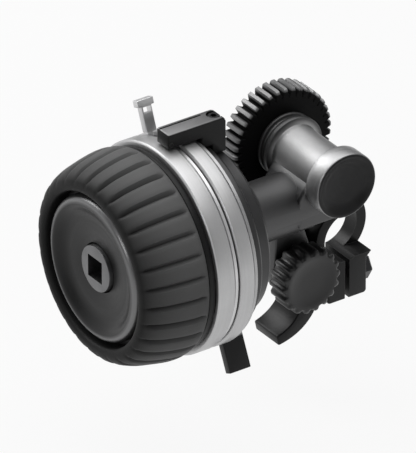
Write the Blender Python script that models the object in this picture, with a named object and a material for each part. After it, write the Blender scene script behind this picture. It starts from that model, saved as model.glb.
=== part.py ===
"""Lens follow focus: a hand wheel that turns a lens gear through a crossed pair of helical gears.

It swings on a clamp that grips a 15 mm rod. The rod's axis is the X axis, the wheel's axis runs
along Y with the wheel's face towards -Y, and the drive shaft is parallel to the rod.
"""
import math

import bmesh
import bpy
from mathutils import Vector

mm = 0.001

# Driving dimensions
rod_radius = 7.5 * mm
drive_station = 71.0 * mm
drive_ahead = 13.0 * mm
helical_module = 0.7 * mm
helical_teeth = 10
lens_module = 0.8 * mm
lens_teeth = 38
grip_ribs = 30
knob_ribs = 18

# Clearances
gap = 0.3 * mm
running_gap = 0.1 * mm
overrun = 1.0 * mm
merge_distance = 0.001 * mm

# Where the three axes lie; a station is a distance behind the wheel's front plane
clamp_wall = 3.2 * mm
clamp_radius = rod_radius + clamp_wall
ear_radius = 6.8 * mm
ear_clearance = 0.2 * mm
pivot_ahead = clamp_radius + ear_radius + ear_clearance
pivot_below = 4.5 * mm
block_drop = 4.6 * mm
block_clearance = 3.2 * mm
wheel_height = clamp_radius + block_clearance + block_drop
wheel_reach = drive_station + drive_ahead

# The pair's shafts cross at right angles, so each gear has a 45 degree helix
helix_angle = math.radians(45)
helical_pitch_radius = helical_module * helical_teeth / (2 * math.cos(helix_angle))
drive_rise = 2 * helical_pitch_radius

wheel_origin = Vector((0, -wheel_reach, wheel_height))
drive_origin = wheel_origin + Vector((0, drive_station, drive_rise))
pivot_origin = Vector((0, -pivot_ahead, -pivot_below))

for old in list(bpy.data.objects):
    bpy.data.objects.remove(old, do_unlink=True)


def finish(name, colour, roughness, metallic):
    """A Principled material."""
    material = bpy.data.materials.new(name)
    material.use_nodes = True
    shader = material.node_tree.nodes["Principled BSDF"]
    shader.inputs["Base Color"].default_value = (*colour, 1.0)
    shader.inputs["Roughness"].default_value = roughness
    shader.inputs["Metallic"].default_value = metallic
    return material


black_anodised = ((0.02, 0.02, 0.022), 0.45, 0.6)
black_rubber = ((0.03, 0.03, 0.03), 0.8, 0.0)
black_plastic = ((0.025, 0.025, 0.027), 0.5, 0.0)
silver_anodised = ((0.62, 0.62, 0.63), 0.35, 0.9)
steel = ((0.5, 0.5, 0.52), 0.3, 1.0)
dark_steel = ((0.12, 0.12, 0.125), 0.4, 0.9)
brass = ((0.6, 0.45, 0.2), 0.35, 1.0)


def empty(name, place, parent=None):
    """An empty on a joint's axis."""
    axis = bpy.data.objects.new(name, None)
    bpy.context.collection.objects.link(axis)
    axis.parent = parent
    axis.location = place - (parent.matrix_world.translation if parent else Vector())
    bpy.context.view_layer.update()
    return axis


swing_axis = empty("swing_axis", pivot_origin)
wheel_axis = empty("wheel_axis", wheel_origin, swing_axis)
drive_axis = empty("drive_axis", drive_origin, swing_axis)


def along_axis(axis, first, second, along):
    """A point from its two coordinates across an axis and the one along it."""
    if axis == "X":
        return Vector((along, first, second))
    if axis == "Y":
        return Vector((first, along, second))
    return Vector((first, second, along))


def make(name, shape, look, place, parent):
    """Turn a bmesh into an object whose origin lies at place."""
    bmesh.ops.remove_doubles(shape, verts=shape.verts, dist=merge_distance)
    bmesh.ops.recalc_face_normals(shape, faces=shape.faces)
    mesh = bpy.data.meshes.new(name)
    shape.to_mesh(mesh)
    shape.free()
    mesh.shade_smooth()
    mesh.set_sharp_from_angle(angle=math.radians(32))
    if look:
        mesh.materials.append(finish(name, *look))
    piece = bpy.data.objects.new(name, mesh)
    bpy.context.collection.objects.link(piece)
    piece.parent = parent
    piece.location = place - (parent.matrix_world.translation if parent else Vector())
    return piece


def spin_profile(profile, axis, steps):
    """Spin (radius, along) points; a profile that starts off the axis closes into a ring."""
    shape = bmesh.new()
    verts = [shape.verts.new((radius, 0, along)) for radius, along in profile]
    edges = [shape.edges.new(pair) for pair in zip(verts, verts[1:])]
    if profile[0][0] > 0:
        edges.append(shape.edges.new((verts[-1], verts[0])))
    bmesh.ops.spin(shape, geom=verts + edges, cent=(0, 0, 0), axis=(0, 0, 1), angle=math.tau,
                   steps=steps, use_merge=True, use_duplicate=False)
    for vert in shape.verts:
        vert.co = along_axis(axis, *vert.co)
    return shape


def turned(name, profile, axis, steps, look, place, parent=None):
    """A lathe-turned piece."""
    return make(name, spin_profile(profile, axis, steps), look, place, parent)


def fluted(name, profile, axis, count, columns, depth, look, place, parent=None,
           lead=0.0, middle=0.0, phase=0.0):
    """A turned piece with flutes along it.

    profile has (radius, along, flute share), and columns has (angle share, flute share) inside one
    pitch. Lead turns each point by lead radians for each metre past the middle, and phase turns the
    whole piece by that share of a pitch.
    """
    steps = count * len(columns)
    shape = bmesh.new()
    verts = [shape.verts.new((radius, 0, along)) for radius, along, share in profile]
    edges = [shape.edges.new(pair) for pair in zip(verts, verts[1:])]
    if profile[0][0] > 0:
        edges.append(shape.edges.new((verts[-1], verts[0])))
    bmesh.ops.spin(shape, geom=verts + edges, cent=(0, 0, 0), axis=(0, 0, 1), angle=math.tau,
                   steps=steps, use_merge=True, use_duplicate=False)
    bmesh.ops.remove_doubles(shape, verts=shape.verts, dist=merge_distance)
    for vert in shape.verts:
        radius = math.hypot(vert.co.x, vert.co.y)
        if radius < merge_distance:
            vert.co = along_axis(axis, *vert.co)
            continue
        step = round(math.atan2(vert.co.y, vert.co.x) % math.tau / math.tau * steps) % steps
        pitch, column = divmod(step, len(columns))
        angle_share, flute = columns[column]
        nearest = min(profile, key=lambda point: math.hypot(point[0] - radius, point[1] - vert.co.z))
        angle = (pitch + angle_share + phase) * math.tau / count + lead * (vert.co.z - middle)
        radius -= depth * flute * nearest[2]
        vert.co = along_axis(axis, radius * math.cos(angle), radius * math.sin(angle), vert.co.z)
    return make(name, shape, look, place, parent)


def arc(centre, radius, start, end, count):
    """Points on an arc, with its angles in degrees."""
    steps = [math.radians(start + (end - start) * step / count) for step in range(count + 1)]
    return [(centre[0] + radius * math.cos(angle), centre[1] + radius * math.sin(angle))
            for angle in steps]


def belt(circles, count=20):
    """The outline that a belt round some (first, second, radius) circles has."""
    points = []
    for first, second, radius in circles:
        points += arc((first, second), radius, 0, 360, count)[:-1]
    points = sorted(set(points))

    def half(ordered):
        chain = []
        for point in ordered:
            while len(chain) > 1 and ((chain[-1][0] - chain[-2][0]) * (point[1] - chain[-2][1])
                                      - (chain[-1][1] - chain[-2][1]) * (point[0] - chain[-2][0])) <= 0:
                chain.pop()
            chain.append(point)
        return chain[:-1]

    return half(points) + half(points[::-1])


def rectangle(low_first, high_first, low_second, high_second):
    """A rectangle's outline."""
    return [(low_first, low_second), (high_first, low_second),
            (high_first, high_second), (low_first, high_second)]


def prism(name, outline, axis, low, high, look, place, parent=None, bevel=0.0):
    """An outline pulled along an axis, with bevelled edges if bevel is set."""
    shape = bmesh.new()
    face = shape.faces.new([shape.verts.new(along_axis(axis, first, second, low))
                            for first, second in outline])
    pulled = bmesh.ops.extrude_face_region(shape, geom=[face])
    moved = [item for item in pulled["geom"] if isinstance(item, bmesh.types.BMVert)]
    bmesh.ops.translate(shape, verts=moved, vec=along_axis(axis, 0, 0, high - low))
    bmesh.ops.recalc_face_normals(shape, faces=shape.faces)
    if bevel:
        sharp = [edge for edge in shape.edges if edge.calc_face_angle() > math.radians(40)]
        bmesh.ops.bevel(shape, geom=sharp, offset=bevel, offset_type="OFFSET", segments=1,
                        profile=0.5, affect="EDGES", material=-1)
    return make(name, shape, look, place, parent)


def combine(target, other, operation):
    """Join another shape to a piece, or cut it out, and hide that shape."""
    modifier = target.modifiers.new(other.name, "BOOLEAN")
    modifier.operation = operation
    modifier.object = other
    modifier.solver = "EXACT"
    other.hide_render = True
    other.display_type = "WIRE"
    return target


def cut(target, *cutters):
    """Cut shapes out of a piece."""
    for cutter in cutters:
        combine(target, cutter, "DIFFERENCE")


def unite(target, *others):
    """Fuse shapes to a piece."""
    for other in others:
        combine(target, other, "UNION")


def rod_shape(radius, low, high):
    """A plain cylinder's profile."""
    return [(0, low), (radius, low), (radius, high), (0, high)]


def ring_shape(inner, outer, low, high, edge=0.0):
    """A ring's profile, with its outer edges broken by edge."""
    if not edge:
        return [(inner, low), (outer, low), (outer, high), (inner, high)]
    return [(inner, low), (outer - edge, low), (outer, low + edge),
            (outer, high - edge), (outer - edge, high), (inner, high)]


def screw_shape(head_radius, head_height, shank_radius, shank_length, seat):
    """A cap screw's profile: its head lies before seat, and its shank runs past it."""
    edge = head_height / 5
    return [(0, seat - head_height), (head_radius - edge, seat - head_height),
            (head_radius, seat - head_height + edge), (head_radius, seat),
            (shank_radius, seat), (shank_radius, seat + shank_length), (0, seat + shank_length)]


# Wheel
shaft_radius = 3.0 * mm
shaft_bore = shaft_radius + running_gap
hub_bore = shaft_radius + gap

socket_radius = 6.7 * mm
socket_square = 6.6 * mm
socket_front = 0.2 * mm
socket_hole_depth = 5.4 * mm
socket_base = 1.7 * mm
socket_back = socket_front + socket_hole_depth + socket_base
pocket_radius = socket_radius + gap

hub_screw_head = 3.2 * mm
hub_screw_height = 1.7 * mm
hub_screw_radius = 1.1 * mm
hub_screw_length = 7.6 * mm
hub_screw_seat = socket_back + gap + hub_screw_height

tyre_radius = 29.9 * mm
tyre_wall = 5.0 * mm
tyre_seat = tyre_radius - tyre_wall
tyre_lip_width = 3.9 * mm
tyre_lip_radius = tyre_seat - tyre_lip_width
tyre_proud = 1.5 * mm
tyre_lip = 4.7 * mm
tyre_lip_back = tyre_lip - tyre_proud
tyre_back = 17.4 * mm
tyre_groove_depth = 1.1 * mm

cap_margin = 1.4 * mm
cap_radius = tyre_lip_radius - cap_margin
cap_proud = 1.0 * mm
cap_depth = 6.7 * mm
cap_edge = 1.2 * mm
cap_rim_width = 6.0 * mm
cap_recess_radius = cap_radius - cap_rim_width
cap_recess_taper = 1.3 * mm
cap_recess_depth = 2.4 * mm
cap_back = cap_depth - cap_proud

hub_recess_radius = cap_radius + gap
hub_floor = cap_back + gap
pocket_floor = hub_screw_seat + gap
hub_web = 1.4 * mm
shaft_front = pocket_floor + hub_web + gap
hub_boss_radius = 9.0 * mm

ring_radius = 30.2 * mm
ring_wall = 2.9 * mm
ring_edge = 0.7 * mm
ring_inner = ring_radius - ring_wall
flange_recess = 1.4 * mm
flange_radius = ring_radius - flange_recess
flange_width = 1.7 * mm
flange_front = tyre_back + gap
flange_back = flange_front + flange_width
marking_width = 5.5 * mm
marking_front = flange_back + gap
marking_back = marking_front + marking_width
drum_radius = ring_inner - gap
drum_back = marking_back - gap

# Fixed rings behind the marking ring
plate_width = 1.0 * mm
stop_a_front = marking_back + gap
stop_a_back = stop_a_front + plate_width
index_front = stop_a_back + gap
index_width = 4.7 * mm
index_back = index_front + index_width
stop_b_front = index_back + gap
stop_b_back = stop_b_front + plate_width
core_step = 1.4 * mm
core_radius = ring_inner - core_step
core_front = drum_back + 2 * gap
stop_inner = core_radius + gap
stop_recess = 0.8 * mm
stop_outer = ring_radius - stop_recess
stop_root = (stop_inner + stop_outer) / 2
stop_lever_thickness = 2.4 * mm
stop_lever_length = 9.2 * mm
stop_lever_width = 5.2 * mm
stop_lever_neck = 3.2 * mm
stop_lever_ends = 2.0 * mm
stop_tab_length = 8.8 * mm
stop_tab_width = 6.8 * mm

# Body housing
shoulder_front = stop_b_back + gap
shoulder_width = 3.1 * mm
shoulder_recess = 3.0 * mm
shoulder_radius = ring_radius - shoulder_recess
middle_width = 4.7 * mm
middle_step = 3.0 * mm
middle_radius = shoulder_radius - middle_step
tail_width = 2.0 * mm
tail_step = 3.2 * mm
tail_radius = middle_radius - tail_step
step_edge = 0.7 * mm
shoulder_back = shoulder_front + shoulder_width
middle_back = shoulder_back + middle_width
tail_back = middle_back + tail_width

bearing_radius = 5.9 * mm
bearing_width = 2.5 * mm
bearing_lip = 1.0 * mm
rear_bearing_radius = 5.0 * mm
front_bearing_radius = 7.5 * mm
front_bearing_width = 4.0 * mm
bearing_wall = 1.5 * mm
washer_thickness = 1.0 * mm
bearing_boss_radius = front_bearing_radius + gap + bearing_wall
bearing_boss_reach = 4.4 * mm
bearing_boss_front = stop_b_front - bearing_boss_reach
front_bearing_front = bearing_boss_front + gap
front_bearing_back = front_bearing_front + front_bearing_width
hub_boss_back = bearing_boss_front - gap - washer_thickness - gap

web_setback = 1.0 * mm
web_front = shoulder_front + web_setback
body_screw_radius = 1.2 * mm
body_screw_head = 1.9 * mm
body_screw_height = 1.8 * mm
body_screw_circle = bearing_boss_radius + gap + body_screw_head
body_screw_angles = [math.radians(90 + 120 * turn) for turn in range(3)]
core_bore = body_screw_circle + body_screw_head + 2 * gap

# Gearbox: the neck round the wheel's axis
neck_front = tail_back + gap
neck_flange_wall = 1.0 * mm
neck_flange_radius = body_screw_circle + body_screw_radius + gap + neck_flange_wall
neck_flange_width = 4.0 * mm
neck_flange_back = neck_front + neck_flange_width
body_screw_length = neck_flange_back - web_front - gap
neck_radius = 8.6 * mm
neck_fillet = 1.2 * mm
chamber_wall = 1.4 * mm
chamber_bore = bearing_radius + gap
chamber_radius = chamber_bore + chamber_wall
helical_width = 6.0 * mm
helical_tip = helical_pitch_radius + helical_module * 0.7
helical_root = helical_pitch_radius - helical_module * 1.4
screw_gear_front = drive_station - helical_width / 2
screw_gear_back = drive_station + helical_width / 2
rear_bearing_front = screw_gear_back + gap
rear_bearing_back = rear_bearing_front + bearing_width
chamber_end = rear_bearing_back + gap
chamber_cover = 1.3 * mm
chamber_back = chamber_end + chamber_cover
shaft_back = rear_bearing_back - gap

# Gearbox: the tube round the drive shaft
tube_wall = 1.1 * mm
tube_radius = chamber_bore + tube_wall
tube_flange_step = 2.1 * mm
tube_flange_radius = tube_radius + tube_flange_step
tube_flange_width = 2.0 * mm
tube_left = -8.2 * mm
tube_right = 12.0 * mm
tube_end = tube_left - tube_flange_width
left_bearing_inset = 0.5 * mm
left_bearing_left = tube_left + left_bearing_inset
left_bearing_right = left_bearing_left + bearing_width
right_bearing_inset = 2.1 * mm
right_bearing_right = tube_right - right_bearing_inset
right_bearing_left = right_bearing_right - bearing_width
drive_shaft_right = right_bearing_right - gap

end_cap_wall = 2.0 * mm
end_cap_radius = tube_radius + gap + end_cap_wall
end_cap_overlap = 1.8 * mm
end_cap_height = 4.0 * mm
end_cap_dish = 2.0 * mm
end_cap_edge = 0.5 * mm
end_cap_rim = 1.2 * mm

collar_radius = 9.2 * mm
collar_width = 1.2 * mm
collar_step = 1.2 * mm
collar_neck_width = 1.2 * mm
collar_right = tube_end - gap
collar_left = collar_right - collar_neck_width - collar_width
gear_width = 7.0 * mm
gear_seat_radius = 6.0 * mm
gear_right = collar_left - gap
gear_left = gear_right - gear_width
gear_hub_proud = 0.6 * mm
gear_hub_left = gear_left - gear_hub_proud
gear_tip = lens_module * (lens_teeth + 2) / 2
gear_tooth_height = lens_module * 2.25
gear_chamfer = 0.45 * mm
gear_screw_head = 7.6 * mm
gear_screw_height = 1.8 * mm
gear_hub_base = 1.6 * mm
drive_shaft_left = gear_hub_left + gear_hub_base

# Gearbox: the block under the tube and the ear that hangs from it
block_half_width = 8.6 * mm
block_front_reach = 10.0 * mm
block_front = drive_station - block_front_reach
clamp_right = -1.5 * mm
ear_right = clamp_right
ear_width = 5.1 * mm
ear_left = ear_right - ear_width
hinge_washer_thickness = 0.7 * mm
clamp_ear_right = ear_left - gap - hinge_washer_thickness - gap

# Rod clamp
clamp_bore = rod_radius + running_gap
clamp_width = 11.5 * mm
clamp_left = clamp_right - clamp_width
clamp_middle = (clamp_left + clamp_right) / 2
clamp_edge = 0.5 * mm
clamp_relief_width = 6.5 * mm
clamp_relief_low = -7.0 * mm
clamp_relief_left = clamp_right - clamp_relief_width
hinge_ear_left = clamp_left + clamp_edge
clamp_slot = 1.5 * mm
clamp_ear_depth = 5.7 * mm
clamp_ear_outside = clamp_slot / 2 + clamp_ear_depth
cam_radius = 3.0 * mm
bolt_radius = 2.0 * mm
bolt_drop = pivot_below + ear_radius + cam_radius + ear_clearance
clamp_ear_end = 5.0 * mm
clamp_ear_reach = bolt_drop + clamp_ear_end
saddle_thickness = 1.4 * mm
saddle_radius = 4.2 * mm
saddle_front = clamp_ear_outside + gap + saddle_thickness
cam_ahead = saddle_front + gap + cam_radius
cam_origin = Vector((clamp_middle, -cam_ahead, -bolt_drop))
nut_radius = 4.0 * mm
nut_width = 3.2 * mm
eye_radius = 2.9 * mm
eye_width = 3.5 * mm
pin_radius = 1.2 * mm
pin_bore = pin_radius + gap
lever_half_width = clamp_width / 2 - gap
lever_tip_ahead = 11.3 * mm
lever_tip_drop = 11.1 * mm
lever_bend_ahead = 1.5 * mm
lever_bend_drop = 9.0 * mm

# Hinge bolt and knob
hinge_bolt_radius = 2.5 * mm
hinge_bore = hinge_bolt_radius + gap
hinge_head_radius = 4.2 * mm
hinge_head_height = 2.0 * mm
knob_washer_thickness = 0.6 * mm
knob_washer_radius = 6.0 * mm
knob_radius = 9.6 * mm
knob_length = 7.5 * mm
knob_edge = 0.6 * mm
knob_cover = 2.2 * mm
knob_flute_depth = 0.9 * mm
knob_left = ear_right + gap + knob_washer_thickness + gap
knob_right = knob_left + knob_length
hinge_bolt_right = knob_right - knob_cover

# Pointer
pointer_half_width = 2.75 * mm
pointer_overhang = 3.0 * mm
pointer_front = marking_back - pointer_overhang
pointer_lift = 0.5 * mm
pointer_bottom = ring_radius + pointer_lift
pointer_thickness = 4.4 * mm
pointer_top = pointer_bottom + pointer_thickness
pointer_edge = 0.4 * mm
pointer_back = middle_back
pointer_leg_front = shoulder_back + gap
pointer_screw_radius = 1.0 * mm
pointer_screw_head = 1.8 * mm
pointer_screw_station = (pointer_leg_front + pointer_back) / 2
pointer_screw_depth = 3.0 * mm


def front_cap():
    """The wheel's dark front plate, with a cupped recess round the socket."""
    recess = cap_recess_depth - cap_proud
    turned("front_cap", [
        (pocket_radius, cap_back),
        (pocket_radius, recess),
        (cap_recess_radius - cap_recess_taper, recess),
        (cap_recess_radius, -cap_proud + cap_edge / 3),
        (cap_recess_radius + cap_edge / 3, -cap_proud),
        (cap_radius - cap_edge, -cap_proud),
        (cap_radius - cap_edge / 3, -cap_proud + cap_edge / 3),
        (cap_radius, -cap_proud + cap_edge),
        (cap_radius, cap_back),
    ], "Y", 30, black_anodised, wheel_origin, wheel_axis)


def whip_socket():
    """The square socket that takes an extension in the middle of the wheel."""
    edge = socket_radius / 12
    socket = turned("whip_socket", [
        (0, socket_front), (socket_radius - edge, socket_front),
        (socket_radius, socket_front + edge), (socket_radius, socket_back), (0, socket_back),
    ], "Y", 24, steel, wheel_origin, wheel_axis)
    half = socket_square / 2
    cut(socket, prism("socket_cut", rectangle(-half, half, -half, half), "Y",
                      socket_front - overrun, socket_front + socket_hole_depth,
                      None, wheel_origin, wheel_axis))


def grip_tyre():
    """The ribbed rubber grip: lands with narrow grooves between them."""
    profile = [
        (tyre_seat, tyre_lip_back, 0),
        (tyre_lip_radius, tyre_lip_back, 0),
        (tyre_lip_radius, -tyre_proud * 0.5, 0),
        (tyre_lip_radius + tyre_proud * 0.5, -tyre_proud, 0),
        (tyre_radius * 0.82, -tyre_proud, 0),
        (tyre_radius * 0.89, tyre_back * 0.02, 0.7),
        (tyre_radius * 0.955, tyre_back * 0.29, 1),
        (tyre_radius, tyre_back * 0.67, 1),
        (tyre_radius * 0.99, tyre_back * 0.9, 1),
        (tyre_radius * 0.97, tyre_back, 0),
        (tyre_seat, tyre_back, 0),
    ]
    columns = [(0, 1), (0.11, 0), (0.89, 0)]
    fluted("grip_tyre", profile, "Y", grip_ribs, columns, tyre_groove_depth,
           black_rubber, wheel_origin, wheel_axis)


def wheel_hub():
    """The wheel's core: it carries the cap, the grip and the marking ring."""
    turned("wheel_hub", [
        (hub_screw_radius + gap, pocket_floor),
        (pocket_radius, pocket_floor),
        (pocket_radius, hub_floor),
        (hub_recess_radius, hub_floor),
        (hub_recess_radius, tyre_lip_back + gap),
        (tyre_seat - gap, tyre_lip_back + gap),
        (tyre_seat - gap, flange_front),
        (flange_radius, flange_front),
        (flange_radius, flange_back),
        (drum_radius, flange_back),
        (drum_radius, drum_back),
        (hub_boss_radius, drum_back),
        (hub_boss_radius, hub_boss_back),
        (hub_bore, hub_boss_back),
        (hub_bore, pocket_floor + hub_web),
        (hub_screw_radius + gap, pocket_floor + hub_web),
    ], "Y", 26, black_anodised, wheel_origin, wheel_axis)


def silver_ring(name, inner, low, high, parent):
    """A bright ring with broken edges."""
    turned(name, ring_shape(inner, ring_radius, low, high, ring_edge), "Y", 40, silver_anodised,
           wheel_origin, parent)


def wheel_shaft():
    """The wheel's shaft, with a tapped hole for the hub screw."""
    hole = hub_screw_radius + gap
    hole_end = hub_screw_seat + hub_screw_length + gap
    turned("wheel_shaft", [
        (0, hole_end), (hole, hole_end), (hole, shaft_front),
        (shaft_radius, shaft_front), (shaft_radius, shaft_back), (0, shaft_back),
    ], "Y", 16, steel, wheel_origin, wheel_axis)
    turned("hub_screw", screw_shape(hub_screw_head, hub_screw_height, hub_screw_radius,
                                    hub_screw_length, hub_screw_seat),
           "Y", 12, dark_steel, wheel_origin, wheel_axis)
    turned("thrust_washer", ring_shape(hub_bore, hub_boss_radius, hub_boss_back + gap,
                                       hub_boss_back + gap + washer_thickness),
           "Y", 16, brass, wheel_origin, wheel_axis)


def helical_gear(name, axis, place, parent, middle, turn, phase):
    """One of the two gears of the crossed pair, both with right-handed teeth."""
    rises = [middle + helical_width * share for share in (-1 / 2, -1 / 6, 1 / 6, 1 / 2)]
    profile = [(hub_bore, rises[0], 0)] + [(helical_tip, rise, 1) for rise in rises]
    profile += [(hub_bore, rise, 0) for rise in rises[:0:-1]]
    columns = [(0, 1), (0.41, 0), (0.59, 0)]
    lead = turn * math.tan(helix_angle) / helical_pitch_radius
    fluted(name, profile, axis, helical_teeth, columns, helical_tip - helical_root, brass,
           place, parent, lead, middle, phase)


def bearing(name, axis, bore, radius, low, high, place, parent):
    """A ball bearing, closed by its shields."""
    turned(name, ring_shape(bore, radius, low, high), axis, 16, steel, place, parent)


def stop_ring(name, look, low, high, angle, blade):
    """A thin ring that turns round the housing's core, with a lever to push it by.

    Each row of the blade's outline is a radius with the stations of its two edges.
    """
    ring = turned(name, ring_shape(stop_inner, stop_outer, low, high), "Y", 36, look,
                  wheel_origin, swing_axis)
    half = stop_lever_thickness / 2
    shape = bmesh.new()
    turn = Vector((math.cos(angle), 0, math.sin(angle)))
    side = Vector((-math.sin(angle), 0, math.cos(angle)))
    outline = [(radius, front) for radius, front, back in blade]
    outline += [(radius, back) for radius, front, back in reversed(blade)]
    face = shape.faces.new([shape.verts.new(turn * radius + Vector((0, station, 0)) - side * half)
                            for radius, station in outline])
    pulled = bmesh.ops.extrude_face_region(shape, geom=[face])
    moved = [item for item in pulled["geom"] if isinstance(item, bmesh.types.BMVert)]
    bmesh.ops.translate(shape, verts=moved, vec=side * half * 2)
    unite(ring, make(name + "_lever", shape, None, wheel_origin, swing_axis))


def stops():
    """The two focus stops."""
    foot = ring_radius + 2 * gap
    tip = foot + stop_lever_length
    middle = (stop_a_front + stop_a_back) / 2
    neck, head = stop_lever_neck / 2, stop_lever_width / 2
    root = plate_width / 4
    stop_ring("stop_ring_a", steel, stop_a_front, stop_a_back, math.radians(112), [
        (stop_root, middle - root, middle + root),
        (foot, middle - root, middle + root),
        (foot, middle - neck, middle + neck),
        (tip - stop_lever_ends, middle - neck, middle + neck),
        (tip - stop_lever_ends, middle - head, middle + head),
        (tip, middle - head, middle + head),
    ])
    foot = shoulder_radius + 2 * gap
    tip = ring_radius + stop_tab_length
    front, back = stop_b_front + root, stop_b_back - root
    stop_ring("stop_ring_b", black_anodised, stop_b_front, stop_b_back, math.radians(-65), [
        (stop_root, front, back),
        (foot, front, back),
        (foot, front, front + stop_tab_width),
        (tip, front, front + stop_tab_width),
    ])


def body_screw_place(angle):
    """Where one body screw's axis meets the wheel's front plane."""
    return wheel_origin + Vector((math.cos(angle), 0, math.sin(angle))) * body_screw_circle


def body_housing():
    """The stepped housing behind the wheel, which carries the stops and the front bearing."""
    housing = turned("body_housing", [
        (front_bearing_radius + gap, bearing_boss_front),
        (bearing_boss_radius, bearing_boss_front),
        (bearing_boss_radius, web_front),
        (core_bore, web_front),
        (core_bore, core_front),
        (core_radius, core_front),
        (core_radius, shoulder_front),
        (shoulder_radius, shoulder_front),
        (shoulder_radius, shoulder_back - step_edge),
        (shoulder_radius - step_edge, shoulder_back),
        (middle_radius, shoulder_back),
        (middle_radius, middle_back - step_edge),
        (middle_radius - step_edge, middle_back),
        (tail_radius, middle_back),
        (tail_radius - step_edge, tail_back),
        (front_bearing_radius - bearing_lip, tail_back),
        (front_bearing_radius - bearing_lip, front_bearing_back + gap),
        (front_bearing_radius + gap, front_bearing_back + gap),
    ], "Y", 34, black_anodised, wheel_origin, swing_axis)
    cut(housing, *[
        turned(f"body_screw_hole_{number}",
               rod_shape(body_screw_radius + gap, web_front - overrun, tail_back + overrun),
               "Y", 10, None, body_screw_place(angle), swing_axis)
        for number, angle in enumerate(body_screw_angles, 1)])
    cut(housing, turned("pointer_screw_hole",
                        rod_shape(pointer_screw_radius + gap, middle_radius - pointer_screw_depth - overrun,
                                  shoulder_radius),
                        "Z", 12, None, wheel_origin + Vector((0, pointer_screw_station, 0)), swing_axis))
    for number, angle in enumerate(body_screw_angles, 1):
        turned(f"body_screw_{number}",
               screw_shape(body_screw_head, body_screw_height, body_screw_radius,
                           body_screw_length, web_front - gap),
               "Y", 10, dark_steel, body_screw_place(angle), swing_axis)


def pointer():
    """The index pointer: a bar over both rings on a stepped foot that stands on the housing."""
    foot_bottom = shoulder_radius + gap
    leg_bottom = middle_radius + gap
    outline = [(pointer_front, pointer_bottom), (shoulder_front, pointer_bottom), (shoulder_front, foot_bottom),
               (pointer_leg_front, foot_bottom), (pointer_leg_front, leg_bottom),
               (pointer_back, leg_bottom), (pointer_back, pointer_top - pointer_edge * 3),
               (pointer_back - pointer_edge * 3, pointer_top), (pointer_front, pointer_top)]
    bar = prism("pointer_block", outline, "X", -pointer_half_width, pointer_half_width,
                black_anodised, wheel_origin, swing_axis, pointer_edge)
    place = wheel_origin + Vector((0, pointer_screw_station, 0))
    head_seat = pointer_top - pointer_thickness / 2
    cut(bar, turned("pointer_screw_bore", [
        (0, leg_bottom - overrun), (pointer_screw_radius + gap, leg_bottom - overrun),
        (pointer_screw_radius + gap, head_seat - gap), (pointer_screw_head + gap, head_seat - gap),
        (pointer_screw_head + gap, pointer_top + overrun), (0, pointer_top + overrun),
    ], "Z", 12, None, place, swing_axis))
    edge = pointer_thickness / 12
    turned("pointer_screw", [
        (0, middle_radius - pointer_screw_depth + gap),
        (pointer_screw_radius, middle_radius - pointer_screw_depth + gap),
        (pointer_screw_radius, head_seat), (pointer_screw_head, head_seat),
        (pointer_screw_head, pointer_top - gap - edge), (pointer_screw_head - edge, pointer_top - gap),
        (0, pointer_top - gap),
    ], "Z", 12, dark_steel, place, swing_axis)


def gearbox_housing():
    """The casting: neck and gear chamber, tube, block between them, and hinge bracket."""
    housing = turned("gearbox_housing", [
        (0, neck_front),
        (neck_flange_radius, neck_front),
        (neck_flange_radius, neck_flange_back - step_edge),
        (neck_flange_radius - step_edge, neck_flange_back),
        (neck_radius + neck_fillet, neck_flange_back),
        (neck_radius, neck_flange_back + neck_fillet),
        (neck_radius, screw_gear_front - step_edge),
        (chamber_radius, screw_gear_front),
        (chamber_radius, chamber_back - 2 * step_edge),
        (chamber_radius - 2 * step_edge, chamber_back),
        (0, chamber_back),
    ], "Y", 26, black_anodised, wheel_origin, swing_axis)
    tube = turned("tube_form", [
        (0, tube_end),
        (tube_flange_radius - step_edge, tube_end),
        (tube_flange_radius, tube_end + step_edge),
        (tube_flange_radius, tube_left),
        (tube_radius, tube_left),
        (tube_radius, tube_right),
        (0, tube_right),
    ], "X", 28, None, drive_origin, swing_axis)
    top = drive_rise
    rear = chamber_back - step_edge
    front = drive_station - tube_radius * 0.93
    block = prism("block_form", [
        (block_front, -block_drop), (rear - block_drop, -block_drop), (rear, 0), (rear, top),
        (front, top), (block_front, block_drop),
    ], "X", -block_half_width, block_half_width, None, wheel_origin, swing_axis, step_edge)
    pivot_station = wheel_reach - pivot_ahead
    pivot_drop = wheel_height + pivot_below
    foot_radius = ear_radius / 3
    bracket = prism("bracket_form", belt([
        (pivot_station, -pivot_drop, ear_radius),
        (block_front + foot_radius, -block_drop, foot_radius),
        (pivot_station - foot_radius / 2, -block_drop, foot_radius),
    ]), "X", ear_left, ear_right, None, wheel_origin, swing_axis, 0.0)
    unite(housing, tube, block, bracket)
    cut(housing, turned("neck_bore", [
        (0, neck_front - overrun), (shaft_radius + 2 * gap, neck_front - overrun),
        (shaft_radius + 2 * gap, neck_flange_back),
        (chamber_bore, neck_flange_back),
        (chamber_bore, rear_bearing_front - gap / 2),
        (rear_bearing_radius + gap, rear_bearing_front - gap / 2),
        (rear_bearing_radius + gap, chamber_end), (0, chamber_end),
    ], "Y", 18, None, wheel_origin, swing_axis))
    cut(housing, turned("tube_bore", rod_shape(chamber_bore, tube_end - overrun, tube_right + overrun),
                        "X", 22, None, drive_origin, swing_axis))
    cut(housing, turned("hinge_hole", rod_shape(hinge_bore, ear_left - overrun, ear_right + overrun),
                        "X", 16, None, pivot_origin, swing_axis))
    cut(housing, *[
        turned(f"flange_screw_hole_{number}",
               rod_shape(body_screw_radius + gap, neck_front - overrun,
                         neck_flange_back - gap),
               "Y", 8, None, body_screw_place(angle), swing_axis)
        for number, angle in enumerate(body_screw_angles, 1)])


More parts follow.
